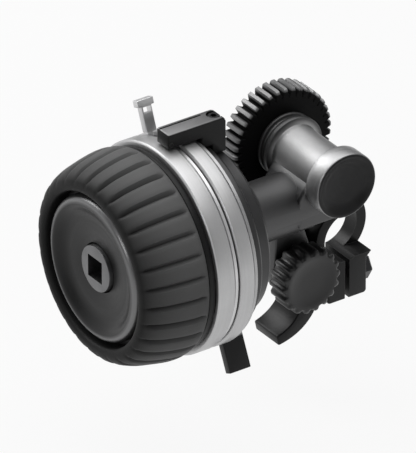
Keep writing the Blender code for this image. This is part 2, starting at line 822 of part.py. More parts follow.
def end_cap():
    """The cap that closes the tube's free end, with a dished face."""
    left = tube_right - end_cap_overlap
    face = tube_right + gap + end_cap_height
    turned("end_cap", [
        (0, tube_right + gap),
        (tube_radius + gap, tube_right + gap),
        (tube_radius + gap, left),
        (end_cap_radius - end_cap_edge, left),
        (end_cap_radius, left + end_cap_edge),
        (end_cap_radius, face - end_cap_edge),
        (end_cap_radius - end_cap_edge, face),
        (end_cap_radius - end_cap_rim, face),
        (end_cap_radius - 3 * end_cap_rim, face - end_cap_dish * 0.8),
        (0, face - end_cap_dish),
    ], "X", 28, black_anodised, drive_origin, swing_axis)


def drive_line():
    """The drive shaft with its gears."""
    hole = hub_screw_radius + gap
    hole_end = gear_hub_left + hub_screw_length + gap
    turned("drive_shaft", [
        (0, drive_shaft_right), (shaft_radius, drive_shaft_right), (shaft_radius, drive_shaft_left),
        (hole, drive_shaft_left), (hole, hole_end), (0, hole_end),
    ], "X", 16, steel, drive_origin, drive_axis)
    helical_gear("drive_screw_gear", "X", drive_origin, drive_axis, 0, 1, 0.5)
    turned("gear_hub", [
        (hole, gear_hub_left),
        (gear_seat_radius, gear_hub_left),
        (gear_seat_radius, collar_left),
        (collar_radius, collar_left),
        (collar_radius, collar_left + collar_width),
        (collar_radius - collar_step, collar_left + collar_width),
        (collar_radius - collar_step, collar_right),
        (hub_bore, collar_right),
        (hub_bore, drive_shaft_left - gap),
        (hole, drive_shaft_left - gap),
    ], "X", 22, black_anodised, drive_origin, drive_axis)
    columns = [(-0.16, 1), (0.16, 1), (0.36, 0), (0.64, 0)]
    fluted("lens_gear", [
        (gear_seat_radius + gap, gear_left, 0),
        (gear_tip - gear_chamfer, gear_left, 1),
        (gear_tip, gear_left + gear_chamfer, 1),
        (gear_tip, gear_right, 1),
        (gear_seat_radius + gap, gear_right, 0),
    ], "X", lens_teeth, columns, gear_tooth_height, black_plastic, drive_origin, drive_axis)
    seat = gear_hub_left - gap
    edge = gear_screw_height / 4
    turned("gear_screw", [
        (0, seat - gear_screw_height), (gear_screw_head - edge, seat - gear_screw_height),
        (gear_screw_head, seat - gear_screw_height + edge), (gear_screw_head, seat),
        (hub_screw_radius, seat), (hub_screw_radius, hole_end - gap), (0, hole_end - gap),
    ], "X", 18, dark_steel, drive_origin, drive_axis)


def rod_clamp_body():
    """The split clamp round the rod, with its hinge ear."""
    meet = math.degrees(math.asin(clamp_ear_outside / clamp_radius))
    outline = arc((0, 0), clamp_radius, meet - 90, 270 - meet, 26)
    outline += [(-clamp_ear_outside, -clamp_ear_reach), (clamp_ear_outside, -clamp_ear_reach)]
    clamp = prism("rod_clamp_body", outline, "X", clamp_left, clamp_right, black_anodised, Vector(),
                  None, clamp_edge)
    unite(clamp, prism("hinge_ear_form", belt([
        (-pivot_ahead, -pivot_below, ear_radius),
        (-rod_radius * 0.7, 0, ear_radius * 0.95),
    ]), "X", hinge_ear_left, clamp_ear_right, None, Vector()))
    half = clamp_slot / 2
    relief_out = clamp_radius + overrun
    cut(clamp, prism("rear_relief", rectangle(0, relief_out, clamp_relief_low, relief_out), "X",
                     clamp_relief_left, clamp_right + overrun, None, Vector()))
    cut(clamp, turned("rod_bore", rod_shape(clamp_bore, clamp_left - overrun, clamp_right + overrun),
                      "X", 28, None, Vector()),
        prism("slot_cut", rectangle(-half, half, -clamp_ear_reach - overrun, 0), "X",
              clamp_left - overrun, clamp_right + overrun, None, Vector()),
        turned("bolt_hole", rod_shape(bolt_radius + gap, -clamp_ear_outside - overrun,
                                      clamp_ear_outside + overrun),
               "Y", 12, None, Vector((clamp_middle, 0, -bolt_drop))),
        turned("clamp_hinge_hole", rod_shape(hinge_bore, clamp_left - overrun, clamp_ear_right + overrun),
               "X", 16, None, pivot_origin))


def clamp_hardware():
    """The eye bolt, nut, saddle, cam lever and pin that close the clamp."""
    place = Vector((clamp_middle, 0, -bolt_drop))
    bolt = turned("clamp_bolt", rod_shape(bolt_radius, -cam_ahead,
                                          clamp_ear_outside + gap + nut_width + gap),
                  "Y", 12, steel, place)
    unite(bolt, turned("eye_form", rod_shape(eye_radius, -eye_width / 2, eye_width / 2), "X", 18, None,
                       place + Vector((0, -cam_ahead, 0))))
    cut(bolt, turned("eye_hole", rod_shape(pin_bore, -eye_width, eye_width), "X", 12, None,
                     place + Vector((0, -cam_ahead, 0))))
    nut_low = clamp_ear_outside + gap
    turned("clamp_nut", ring_shape(bolt_radius + gap, nut_radius, nut_low, nut_low + nut_width,
                                   nut_width / 8), "Y", 6, dark_steel, place)
    turned("clamp_saddle", ring_shape(bolt_radius + gap, saddle_radius, -saddle_front,
                                      -saddle_front + saddle_thickness), "Y", 16, brass, place)

    tip = Vector((-lever_tip_ahead, -lever_tip_drop))
    bend = Vector((-lever_bend_ahead, -lever_bend_drop))
    upper, lower = [], []
    for share in [step / 8 for step in range(9)]:
        centre = bend * (2 * share * (1 - share)) + tip * share ** 2
        run = (bend * (1 - share) + (tip - bend) * share).normalized()
        side = Vector((-run.y, run.x)) * cam_radius * (1 - share / 2)
        upper.append(tuple(centre + side))
        lower.append(tuple(centre - side))
    crown = math.degrees(math.atan2(*(Vector(upper[0]).yx)))
    outline = upper[::-1] + arc((0, 0), cam_radius, crown, crown - 180, 10)[1:-1] + lower
    lever = prism("clamp_lever", outline, "X", -lever_half_width, lever_half_width, black_anodised,
                  cam_origin)
    slot_half = eye_width / 2 + gap
    cut(lever, turned("eye_slot", rod_shape(eye_radius + 2 * gap, -slot_half, slot_half), "X", 18, None,
                      cam_origin),
        turned("lever_pin_hole", rod_shape(pin_bore, -lever_half_width - overrun,
                                           lever_half_width + overrun), "X", 12, None, cam_origin))
    turned("lever_pin", rod_shape(pin_radius, -lever_half_width + gap, lever_half_width - gap), "X", 12,
           steel, cam_origin)


def hinge():
    """The hinge bolt, its washers and the ribbed locking knob."""
    head_low = hinge_ear_left - gap - hinge_head_height
    edge = hinge_head_height / 5
    turned("hinge_bolt", [
        (0, head_low), (hinge_head_radius - edge, head_low), (hinge_head_radius, head_low + edge),
        (hinge_head_radius, hinge_ear_left - gap), (hinge_bolt_radius, hinge_ear_left - gap),
        (hinge_bolt_radius, hinge_bolt_right), (0, hinge_bolt_right),
    ], "X", 16, dark_steel, pivot_origin)
    turned("hinge_washer", ring_shape(hinge_bore, ear_radius, clamp_ear_right + gap,
                                      clamp_ear_right + gap + hinge_washer_thickness),
           "X", 16, steel, pivot_origin)
    turned("knob_washer", ring_shape(hinge_bore, knob_washer_radius, ear_right + gap,
                                     ear_right + gap + knob_washer_thickness),
           "X", 16, steel, pivot_origin)
    columns = [(0, 1), (0.28, 0), (0.72, 0)]
    fluted("swing_knob", [
        (0, hinge_bolt_right + gap, 0),
        (hinge_bore, hinge_bolt_right + gap, 0),
        (hinge_bore, knob_left, 0),
        (knob_radius - knob_edge - knob_flute_depth, knob_left, 0),
        (knob_radius, knob_left + knob_edge, 1),
        (knob_radius, knob_right - knob_edge, 1),
        (knob_radius - knob_edge - knob_flute_depth, knob_right, 0),
        (0, knob_right, 0),
    ], "X", knob_ribs, columns, knob_flute_depth, black_plastic, pivot_origin)


def assemble():
    """Make every piece."""
    front_cap()
    whip_socket()
    grip_tyre()
    wheel_hub()
    silver_ring("marking_ring", ring_inner, marking_front, marking_back, wheel_axis)
    wheel_shaft()
    helical_gear("wheel_screw_gear", "Y", wheel_origin, wheel_axis, drive_station, -1, 0)
    stops()
    silver_ring("index_ring", stop_inner, index_front, index_back, swing_axis)
    body_housing()
    pointer()
    gearbox_housing()
    bearing("wheel_bearing_front", "Y", shaft_bore, front_bearing_radius, front_bearing_front,
            front_bearing_back, wheel_origin, swing_axis)
    bearing("wheel_bearing_rear", "Y", shaft_bore, rear_bearing_radius, rear_bearing_front,
            rear_bearing_back, wheel_origin, swing_axis)
    bearing("drive_bearing_left", "X", shaft_bore, bearing_radius, left_bearing_left,
            left_bearing_right, drive_origin, swing_axis)
    bearing("drive_bearing_right", "X", shaft_bore, bearing_radius, right_bearing_left,
            right_bearing_right, drive_origin, swing_axis)
    end_cap()
    drive_line()
    rod_clamp_body()
    clamp_hardware()
    hinge()


assemble()
bpy.context.view_layer.update()
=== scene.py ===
# %% [markdown]
# # A lens follow focus
#
# A hand wheel with a rubber grip turns a toothed gear through a right-angle gearbox, and the
# whole unit swings on a clamp with a 15 mm bore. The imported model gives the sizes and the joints.
# It could be shown as it is, but its facets and plain colours look like a drawing, so this lesson
# dresses it: smooth lathe work, cut teeth and real finishes.

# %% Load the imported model
import math

import bmesh
import bpy
from mathutils import Matrix, Vector


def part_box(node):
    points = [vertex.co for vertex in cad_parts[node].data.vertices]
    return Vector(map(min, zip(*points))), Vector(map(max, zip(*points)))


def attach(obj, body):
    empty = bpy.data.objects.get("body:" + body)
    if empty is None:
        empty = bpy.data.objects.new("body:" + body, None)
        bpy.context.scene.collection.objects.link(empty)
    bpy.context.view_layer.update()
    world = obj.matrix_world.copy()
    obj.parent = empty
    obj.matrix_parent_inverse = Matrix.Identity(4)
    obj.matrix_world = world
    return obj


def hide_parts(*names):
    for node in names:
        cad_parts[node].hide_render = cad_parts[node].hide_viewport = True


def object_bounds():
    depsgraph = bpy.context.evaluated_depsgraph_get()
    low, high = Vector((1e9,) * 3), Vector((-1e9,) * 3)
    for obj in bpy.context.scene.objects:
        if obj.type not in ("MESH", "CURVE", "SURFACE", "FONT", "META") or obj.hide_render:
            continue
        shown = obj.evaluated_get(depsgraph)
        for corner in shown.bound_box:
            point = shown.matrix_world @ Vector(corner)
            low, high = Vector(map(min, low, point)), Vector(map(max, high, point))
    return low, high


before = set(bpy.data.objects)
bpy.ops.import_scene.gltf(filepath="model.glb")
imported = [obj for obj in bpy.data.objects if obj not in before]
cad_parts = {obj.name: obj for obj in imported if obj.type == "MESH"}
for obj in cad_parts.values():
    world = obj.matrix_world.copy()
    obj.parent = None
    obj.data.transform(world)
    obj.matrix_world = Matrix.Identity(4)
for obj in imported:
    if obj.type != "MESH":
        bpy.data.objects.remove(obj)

mm = 0.001
cad_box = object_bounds()

# %% [markdown]
# ## Where things are
#
# Nearly every piece is turned on one of four axes: the wheel's, the drive shaft's, the hinge
# bolt's and the clamp bore's. Each axis could be typed in as a number, but here it is read from
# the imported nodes, so the dressed pieces always sit on the real ones. Only the bore needs no
# reading, because the model's own X axis runs through it. Measures along the wheel start 1 mm
# behind the crest of its front cap.

# %% Read the axes from the nodes
def middle(node):
    """The middle of a node's box."""
    low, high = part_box(node)
    return (low + high) / 2


cap_crest = 1.0 * mm
ring_middle = middle("marking_ring")
wheel_centre = Vector((ring_middle.x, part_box("front_cap")[0].y + cap_crest, ring_middle.z))
drive_centre = Vector((0, middle("end_cap").y, middle("end_cap").z))
pivot_centre = Vector((0, middle("hinge_washer").y, middle("hinge_washer").z))
bore_centre = Vector((0, 0, 0))
bolt_centre = Vector((middle("clamp_nut").x, 0, middle("clamp_nut").z))
cam_centre = middle("lever_pin")
print("wheel", wheel_centre, "drive", drive_centre, "hinge", pivot_centre)


# %% Read how far a node reaches
def span(node, axis, centre):
    """A node's low and high ends along an axis, in millimetres from a centre."""
    low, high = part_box(node)
    number = "XYZ".index(axis)
    return (low[number] - centre[number]) / mm, (high[number] - centre[number]) / mm


def radius_of(node, axis):
    """Half of a node's width along an axis, in millimetres."""
    low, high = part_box(node)
    number = "XYZ".index(axis)
    return (high[number] - low[number]) / 2 / mm


cap_radius = radius_of("end_cap", "Z")
print("marking ring", span("marking_ring", "Y", wheel_centre), "end cap radius", cap_radius)

# %% [markdown]
# ## The camera
#
# The photograph looks at the object from the right and above, and its lines hardly converge. An
# orthographic camera would drop the last of the perspective, so a camera far away with a narrow
# view is used. It is aimed at the middle of the object by turning its -Z axis towards it.

# %% Place the camera
camera_data = bpy.data.cameras.new("camera")
camera_data.sensor_fit = "VERTICAL"
camera_data.sensor_height = 36
camera_data.lens = 918
camera_data.clip_start = 0.1
camera_data.clip_end = 20
camera = bpy.data.objects.new("camera", camera_data)
bpy.context.collection.objects.link(camera)
aim = Vector((0, -47.1, 19.5)) * mm
towards_camera = Vector((0.7106, -0.4920, 0.5030)).normalized()
camera_distance = 3.1
camera.location = aim + towards_camera * camera_distance
camera.rotation_euler = (-towards_camera).to_track_quat("-Z", "Y").to_euler()
bpy.context.scene.camera = camera
print("camera at", camera.location)

# %% [markdown]
# ## The studio
#
# The photograph has a white ground and soft light from the upper left: every round piece is
# bright along its upper left side and dark towards the lower right. One lamp could give that, but
# satin metal mirrors all that stands round it, so five soft panels do the work. A small one at
# the upper left draws the streaks, a wide one overhead lights the tops, a narrow one in front
# picks out the wheel's face, and two weak ones, low at the left and behind at the right, fill
# the shade. A dim grey world stands in for the rest of the room.

# %% Place the soft panels
panel_distance = 0.9
panels = {  # the way to the panel, its width in metres and its power in watts
    "left_panel": ((-0.71, -0.28, 0.645), 0.45, 3.7),
    "ceiling_panel": ((-0.15, 0.15, 0.98), 1.2, 8.8),
    "front_strip": ((0.28, -0.84, 0.46), 0.25, 1.3),
    "side_fill": ((-0.78, -0.62, 0.05), 1.0, 2.1),
    "right_panel": ((0.68, 0.49, 0.54), 1.0, 1.0),
}
for name, (way, width, watts) in panels.items():
    panel_data = bpy.data.lights.new(name, "AREA")
    panel_data.size = width
    panel_data.energy = watts
    panel = bpy.data.objects.new(name, panel_data)
    bpy.context.collection.objects.link(panel)
    panel.location = aim + Vector(way) * panel_distance
    panel.rotation_euler = (aim - panel.location).to_track_quat("-Z", "Y").to_euler()
print("panels", list(panels))

# %% Set the world
world = bpy.data.worlds.new("studio")
world.use_nodes = True
room = world.node_tree.nodes["Background"]
room.inputs["Color"].default_value = (0.17, 0.17, 0.172, 1)
room.inputs["Strength"].default_value = 1.0
bpy.context.scene.world = world
bpy.context.scene.view_settings.view_transform = "Standard"
print("world", world.name)

# %% [markdown]
# ## Shaders in code
#
# In the shader editor a node is dropped in, set and wired by hand. Each of those could be a line
# of its own here, but the finishes use dozens of nodes, so three short helpers do it: one adds a
# node and fills or links its inputs, one starts a node group, and one places a group.

# %% Write the node helpers
def add_node(tree, kind, inputs=None, **settings):
    """Add a node, choose its settings, and set or link its inputs."""
    node = tree.nodes.new(kind)
    for name, value in settings.items():
        setattr(node, name, value)
    for name, value in (inputs or {}).items():
        if isinstance(value, bpy.types.NodeSocket):
            tree.links.new(value, node.inputs[name])
        else:
            node.inputs[name].default_value = value
    return node


def new_group(name, inputs, outputs):
    """Start a group: an input is a number, or a vector where its value is None."""
    group = bpy.data.node_groups.new(name, "ShaderNodeTree")
    for socket, value in inputs.items():
        kind = "NodeSocketVector" if value is None else "NodeSocketFloat"
        made = group.interface.new_socket(name=socket, in_out="INPUT", socket_type=kind)
        if value is not None:
            made.default_value = value
    for socket in outputs:
        group.interface.new_socket(name=socket, in_out="OUTPUT", socket_type="NodeSocketFloat")
    print("group", name)
    return group, group.nodes.new("NodeGroupInput"), group.nodes.new("NodeGroupOutput")


def use_group(tree, group, inputs):
    """Place a group in a material and return its outputs."""
    return add_node(tree, "ShaderNodeGroup", inputs, node_tree=group).outputs


# %% [markdown]
# ## Shared surface effects
#
# Four effects return on many finishes: a fine grain from blasting or moulding, marks that a
# lathe leaves round an axis, a zone of a piece that has its own colour, and edges where the coat
# has rubbed thin. On some finishes the zone's colour is painted shade or a painted highlight.
# They could be repeated in each material, but each is a node group, built once and placed with
# its own values. The lathe marks and the zone both need the distance from an axis, so a helper
# measures it for them.

# %% Build the grain group
patch_scale = 160.0
grain, enter, leave = new_group(
    "fine_grain", {"Vector": None, "Size": 4000.0}, ["Mask", "Patches"])
specks = add_node(grain, "ShaderNodeTexNoise", {
    "Vector": enter.outputs["Vector"], "Scale": enter.outputs["Size"], "Detail": 2.0})
patches = add_node(grain, "ShaderNodeTexNoise", {
    "Vector": enter.outputs["Vector"], "Scale": patch_scale, "Detail": 3.0})
grain.links.new(specks.outputs["Fac"], leave.inputs["Mask"])
grain.links.new(patches.outputs["Fac"], leave.inputs["Patches"])
print("inputs", [socket.name for socket in enter.outputs if socket.name])


# %% Build the lathe mark group
def round_measures(tree, vector):
    """A place's own X, Y and Z, and its distance from the Y axis."""
    own = add_node(tree, "ShaderNodeSeparateXYZ", {0: vector}).outputs
    flat = add_node(tree, "ShaderNodeCombineXYZ", {0: own["X"], 2: own["Z"]})
    reach = add_node(tree, "ShaderNodeVectorMath", {0: flat.outputs[0]}, operation="LENGTH")
    return own, reach.outputs["Value"]


lathe_marks, enter, leave = new_group(
    "lathe_marks", {"Vector": None, "Fineness": 5000.0}, ["Mask"])
own, reach = round_measures(lathe_marks, enter.outputs["Vector"])
angle = add_node(lathe_marks, "ShaderNodeMath", {0: own["Z"], 1: own["X"]},
                 operation="ARCTAN2")
along, outward = [
    add_node(lathe_marks, "ShaderNodeMath", {0: measure, 1: enter.outputs["Fineness"]},
             operation="MULTIPLY") for measure in (own["Y"], reach)]
round_place = add_node(lathe_marks, "ShaderNodeCombineXYZ", {
    0: angle.outputs[0], 1: along.outputs[0], 2: outward.outputs[0]})
rings = add_node(lathe_marks, "ShaderNodeTexNoise", {
    "Vector": round_place.outputs[0], "Scale": 1.0, "Detail": 3.0})
lathe_marks.links.new(rings.outputs["Fac"], leave.inputs["Mask"])
print("nodes", len(lathe_marks.nodes))

# %% Build the zone group
zone, enter, leave = new_group(
    "zone", {"Vector": None, "Start": 0.0, "End": 0.001}, ["Outward", "Along"])
own, reach = round_measures(zone, enter.outputs["Vector"])
for measure, result in ((reach, "Outward"), (own["Y"], "Along")):
    step = add_node(zone, "ShaderNodeMapRange", {
        "Value": measure, "From Min": enter.outputs["Start"], "From Max": enter.outputs["End"]})
    zone.links.new(step.outputs["Result"], leave.inputs[result])
print("nodes", len(zone.nodes))

# %% Build the edge wear group
flat_likeness, edge_likeness = 0.995, 0.85
rub_scale = 700.0
edge_wear, enter, leave = new_group(
    "edge_wear", {"Vector": None, "Radius": 0.0003, "Amount": 0.5}, ["Mask"])
rounded = add_node(edge_wear, "ShaderNodeBevel", {"Radius": enter.outputs["Radius"]}, samples=4)
true_normal = add_node(edge_wear, "ShaderNodeNewGeometry")
likeness = add_node(edge_wear, "ShaderNodeVectorMath", {
    0: rounded.outputs["Normal"], 1: true_normal.outputs["Normal"]}, operation="DOT_PRODUCT")
bent = add_node(edge_wear, "ShaderNodeMapRange", {
    "Value": likeness.outputs["Value"], "From Min": flat_likeness, "From Max": edge_likeness,
    "To Min": 0.0, "To Max": 1.0})
rub = add_node(edge_wear, "ShaderNodeTexNoise", {
    "Vector": enter.outputs["Vector"], "Scale": rub_scale, "Detail": 3.0})
broken = add_node(edge_wear, "ShaderNodeMath", {
    0: bent.outputs["Result"], 1: rub.outputs["Fac"]}, operation="MULTIPLY")
worn = add_node(edge_wear, "ShaderNodeMath", {
    0: broken.outputs[0], 1: enter.outputs["Amount"]}, operation="MULTIPLY", use_clamp=True)
edge_wear.links.new(worn.outputs[0], leave.inputs["Mask"])
print("nodes", len(edge_wear.nodes))

# %% [markdown]
# ## One builder for every finish
#
# A coated, bare or moulded surface has a colour with faint patches, a gloss that varies with its
# grain, and perhaps lathe marks, a zone of another colour and worn edges. On some finishes that
# zone is painted shade or a painted highlight. Each finish could have a tree of its own, but they
# differ only in their values, so one builder makes them all.

# %% Write the steps of a finish
noise_low, noise_high = 0.3, 0.7
turn_to_y = {"Y": (0, 0, 0), "X": (0, 0, math.radians(-90)), "Z": (math.radians(90), 0, 0)}


def spread(tree, noise, low, high):
    """Stretch a noise over a range."""
    return add_node(tree, "ShaderNodeMapRange", {
        "Value": noise, "From Min": noise_low, "From Max": noise_high,
        "To Min": low, "To Max": high}).outputs["Result"]


def tint(tree, mask, shade, colour):
    """Lay a colour over a shade where a mask is high."""
    return add_node(tree, "ShaderNodeMix", {"Factor": mask, "A": shade, "B": (*colour, 1.0)},
                    data_type="RGBA").outputs["Result"]


def centre_on(tree, place, axis, centre):
    """Coordinates that start on a piece's axis and have that axis as Y."""
    return add_node(tree, "ShaderNodeMapping", {
        "Vector": place, "Location": centre, "Rotation": turn_to_y[axis]},
        vector_type="TEXTURE").outputs[0]


print("axes", list(turn_to_y))

# %% Write the finish builder
roughness_spread = 0.05
streak_depth = 0.08
bump_strength = 0.35
wear_radius = 0.0003


def finish(name, colour, roughness, metallic, specular=0.25, variation=0.12, grain_size=4000.0,
           grain_depth=0.004, axis="Y", centre=wheel_centre, marks=0.0, fineness=5000.0,
           part=None, wear=None):
    """A finish with patches and grain, a part of another colour, lathe marks and worn edges.

    part is a measure, its start and end in millimetres, a colour and a metallic value; on some
    finishes that colour is painted shade or a painted highlight.
    wear is an amount and the colour of the worn edge.
    """
    material = bpy.data.materials.new(name)
    material.use_nodes = True
    tree = material.node_tree
    shader = tree.nodes["Principled BSDF"].inputs
    shader["Metallic"].default_value = metallic
    shader["Specular IOR Level"].default_value = specular
    place = add_node(tree, "ShaderNodeTexCoord").outputs["Object"]
    speckle = use_group(tree, grain, {"Vector": place, "Size": grain_size})
    height = speckle["Mask"]
    tone = spread(tree, speckle["Patches"], 1.0 - variation, 1.0 + variation)
    shade = add_node(tree, "ShaderNodeMix", {"Factor": 1.0, "A": (*colour, 1.0), "B": tone},
                     data_type="RGBA", blend_type="MULTIPLY").outputs["Result"]
    rough = spread(tree, height, roughness - roughness_spread, roughness + roughness_spread)
    if marks or part:
        centred = centre_on(tree, place, axis, centre)
    if part:
        measure, start, end, part_colour, part_metallic = part
        chosen = use_group(tree, zone, {
            "Vector": centred, "Start": start * mm, "End": end * mm})[measure]
        shade = tint(tree, chosen, shade, part_colour)
        if part_metallic != metallic:
            metal = add_node(tree, "ShaderNodeMix", {
                "Factor": chosen, "A": metallic, "B": part_metallic})
            tree.links.new(metal.outputs["Result"], shader["Metallic"])
    if marks:
        cut = use_group(tree, lathe_marks, {"Vector": centred, "Fineness": fineness})["Mask"]
        height = add_node(tree, "ShaderNodeMix", {
            "Factor": marks, "A": height, "B": cut}).outputs["Result"]
        streak = spread(tree, cut, -streak_depth * marks, streak_depth * marks)
        rough = add_node(tree, "ShaderNodeMath", {0: rough, 1: streak},
                         operation="ADD", use_clamp=True).outputs[0]
    if wear:
        amount, worn_colour = wear
        rubbed = use_group(tree, edge_wear, {
            "Vector": place, "Radius": wear_radius, "Amount": amount})["Mask"]
        shade = tint(tree, rubbed, shade, worn_colour)
    bump = add_node(tree, "ShaderNodeBump", {
        "Height": height, "Strength": bump_strength, "Distance": grain_depth * mm})
    tree.links.new(shade, shader["Base Color"])
    tree.links.new(rough, shader["Roughness"])
    tree.links.new(bump.outputs["Normal"], shader["Normal"])
    print("finish", name)
    return material


# %% [markdown]
# ## The finishes
#
# Most pieces are aluminium with a black or grey coat, the bands are bare satin aluminium, the
# small hardware is steel and bronze, the grip is rubber, and the gear and the knob are moulded.
# Lighter base colours could stand for the shine, but the real coat is almost black and the grey
# that the photograph shows on it is mostly gloss, so the base colours stay dark. A few zones are
# painted all the same: a painted highlight on the front cap's crest, painted sheen on the
# pointer's top and the gear's tooth tips, and painted shade on the grip and the gearbox casting.

# %% Mix the coats of the wheel and the housing
black_coat = finish(
    "black_coat", (0.007, 0.007, 0.0072), 0.36, 0.0, specular=0.2, marks=0.5,
    wear=(0.7, (0.13, 0.13, 0.13)))
# Painted highlight: on the front cap, a lighter, metallic zone 18.4 to 19.4 mm from the axis, on
# the outer slope of the crest. The front strip's real reflection brightens it further.
front_cap_painted_highlight = finish(
    "front_cap_painted_highlight", (0.007, 0.007, 0.0072), 0.36, 0.0, specular=0.26, marks=0.5,
    part=("Outward", 18.4, 19.4, (0.17, 0.17, 0.172), 0.85), wear=(0.7, (0.13, 0.13, 0.13)))
housing_coat = finish(
    "housing_coat", (0.06, 0.06, 0.061), 0.38, 0.85, variation=0.06, grain_depth=0.005,
    marks=0.5, wear=(0.6, (0.3, 0.3, 0.3)))
satin_band = finish(
    "satin_aluminium", (0.48, 0.48, 0.483), 0.48, 1.0, variation=0.03, grain_depth=0.0025,
    marks=0.85, fineness=3500.0, wear=(0.4, (0.7, 0.7, 0.7)))
# Painted sheen: the pointer's top face, its last 0.15 mm upwards, is painted a lighter, metallic
# grey than its black sides.
pointer_coat_painted_top_sheen = finish(
    "pointer_coat_painted_top_sheen", (0.012, 0.012, 0.0123), 0.38, 0.0, specular=0.15, axis="Z",
    part=("Along", 34.85, 35.0, (0.2, 0.2, 0.202), 0.85), wear=(0.6, (0.12, 0.12, 0.12)))
stop_ring_look = finish(
    "stop_ring_coat", (0.4, 0.4, 0.403), 0.38, 0.95,
    part=("Outward", 29.5, 30.0, (0.013, 0.013, 0.0132), 0.0))

# %% Mix the coats of the gearbox
# Painted shade: this coat turns from grey 0.32 to dark 0.09 between 7.7 and 8.9 mm from the drive
# axis. The neck, the block, the bracket, the tube's flange and the rim of the gear hub's collar are
# painted darker than the tube, though they are the same grey coat.
grey_coat_painted_shade = finish(
    "grey_satin_painted_shade", (0.32, 0.32, 0.322), 0.47, 0.95, variation=0.06, grain_depth=0.006,
    axis="X", centre=drive_centre, part=("Outward", 7.7, 8.9, (0.09, 0.09, 0.091), 0.95),
    wear=(0.5, (0.42, 0.42, 0.42)))
spun_cap = finish(
    "spun_cap_coat", (0.026, 0.026, 0.0264), 0.44, 0.9, axis="X", centre=drive_centre,
    marks=0.9, fineness=2500.0,
    part=("Outward", cap_radius - 0.35, cap_radius - 0.1, (0.38, 0.38, 0.383), 0.95),
    wear=(0.5, (0.4, 0.4, 0.4)))

# %% Mix the rubber and the moulded plastics
# Painted shade: the rubber is painted from near black at 25 mm from the axis to grey at 29.6 mm. It
# is darker on the nose round the cap and on the floors of the grooves, and lighter on the tops of
# the lands.
grip_rubber = finish(
    "grip_rubber", (0.009, 0.009, 0.009), 0.58, 0.0, specular=0.15, variation=0.15,
    grain_size=2600.0, grain_depth=0.012,
    part=("Outward", 25.0, 29.6, (0.095, 0.095, 0.095), 0.0))
# Painted sheen: the tooth tips, 15.0 to 15.6 mm from the axis, are painted a lighter, metallic grey
# against the black moulding.
moulded_gear_painted_tip_sheen = finish(
    "moulded_gear_painted_tip_sheen", (0.006, 0.006, 0.0062), 0.5, 0.0, specular=0.05, grain_size=3000.0,
    axis="X", centre=drive_centre, part=("Outward", 15.0, 15.6, (0.24, 0.24, 0.242), 0.8))
moulded_knob = finish(
    "moulded_knob", (0.014, 0.014, 0.0143), 0.36, 0.0, specular=0.4, grain_size=3000.0)

# %% Mix the bare metals
bright_steel = finish(
    "bright_steel", (0.5, 0.5, 0.51), 0.28, 1.0, variation=0.06,
    wear=(0.3, (0.65, 0.65, 0.65)))
stop_steel = finish(
    "stop_steel", (0.62, 0.62, 0.623), 0.42, 1.0, variation=0.08,
    wear=(0.4, (0.75, 0.75, 0.75)))
dark_steel = finish(
    "dark_steel", (0.05, 0.05, 0.052), 0.36, 0.9, wear=(0.6, (0.2, 0.2, 0.2)))
socket_look = finish(
    "socket_steel", (0.16, 0.16, 0.163), 0.38, 1.0, marks=0.7, wear=(0.5, (0.4, 0.4, 0.4)))
bronze = finish("bronze", (0.42, 0.27, 0.12), 0.35, 1.0, marks=0.6)

# %% [markdown]
# ## Lathe work
#
# A lathe-turned part is a profile spun round an axis. It could be built from a cylinder by
# insetting and extruding its ends, but a profile is what the turner works from, and every
# shoulder and chamfer stays where the drawing puts it. Spinning with merge closes the seam. A
# shape is spun round Z and then stood on its own axis.

# %% Spin a profile
axis_from_z = {
    "X": Matrix(((0, 0, 1, 0), (1, 0, 0, 0), (0, 1, 0, 0), (0, 0, 0, 1))),
    "Y": Matrix(((1, 0, 0, 0), (0, 0, 1, 0), (0, -1, 0, 0), (0, 0, 0, 1))),
    "Z": Matrix.Identity(4),
}


def spin(profile, steps=144):
    """Spin (radius, along) points, in millimetres, round Z."""
    shape = bmesh.new()
    verts = [shape.verts.new((radius * mm, 0, along * mm)) for radius, along in profile]
    edges = [shape.edges.new(pair) for pair in zip(verts, verts[1:])]
    starts_on_axis = profile[0][0] == 0
    if not starts_on_axis:
        edges.append(shape.edges.new((verts[-1], verts[0])))
    bmesh.ops.spin(shape, geom=verts + edges, cent=(0, 0, 0), axis=(0, 0, 1), angle=math.tau,
                   steps=steps, use_merge=True, use_duplicate=False)
    bmesh.ops.remove_doubles(shape, verts=shape.verts, dist=0.0005 * mm)
    bmesh.ops.recalc_face_normals(shape, faces=shape.faces)
    return shape


def stand(shape, axis, centre):
    """Turn a shape from the Z axis onto another axis, through a centre."""
    bmesh.ops.transform(shape, matrix=Matrix.Translation(centre) @ axis_from_z[axis],
                        verts=shape.verts)
    return shape


def soften(shape, width, angle=30, segments=2):
    """Round every edge that is sharper than an angle."""
    sharp = [edge for edge in shape.edges
             if edge.is_manifold and edge.calc_face_angle() > math.radians(angle)]
    bmesh.ops.bevel(shape, geom=sharp, offset=width * mm, offset_type="OFFSET",
                    segments=segments, profile=0.5, affect="EDGES", clamp_overlap=True,
                    material=-1)


print("axes", list(axis_from_z))


# %% Turn a shape into a piece of the object
def piece(name, shape, look, body, node, smooth=35):
    """Make the object, ride it on its body, and let it stand for its CAD node."""
    mesh = bpy.data.meshes.new(name)
    shape.to_mesh(mesh)
    shape.free()
    mesh.shade_smooth()
    mesh.set_sharp_from_angle(angle=math.radians(smooth))
    mesh.materials.append(look)
    made = bpy.data.objects.new(name, mesh)
    bpy.context.collection.objects.link(made)
    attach(made, body)
    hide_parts(node)
    print(name, len(mesh.vertices), "vertices")


# %% [markdown]
# ## The wheel's front cap
#
# The cap is a black plate in the middle of the wheel. A wide shallow dish runs from the socket
# out to a round crest, which falls away to a dark gap beside the tyre. It could be a disc with an
# inset, but the dish and the crest are long soft curves, so they are drawn into the profile.

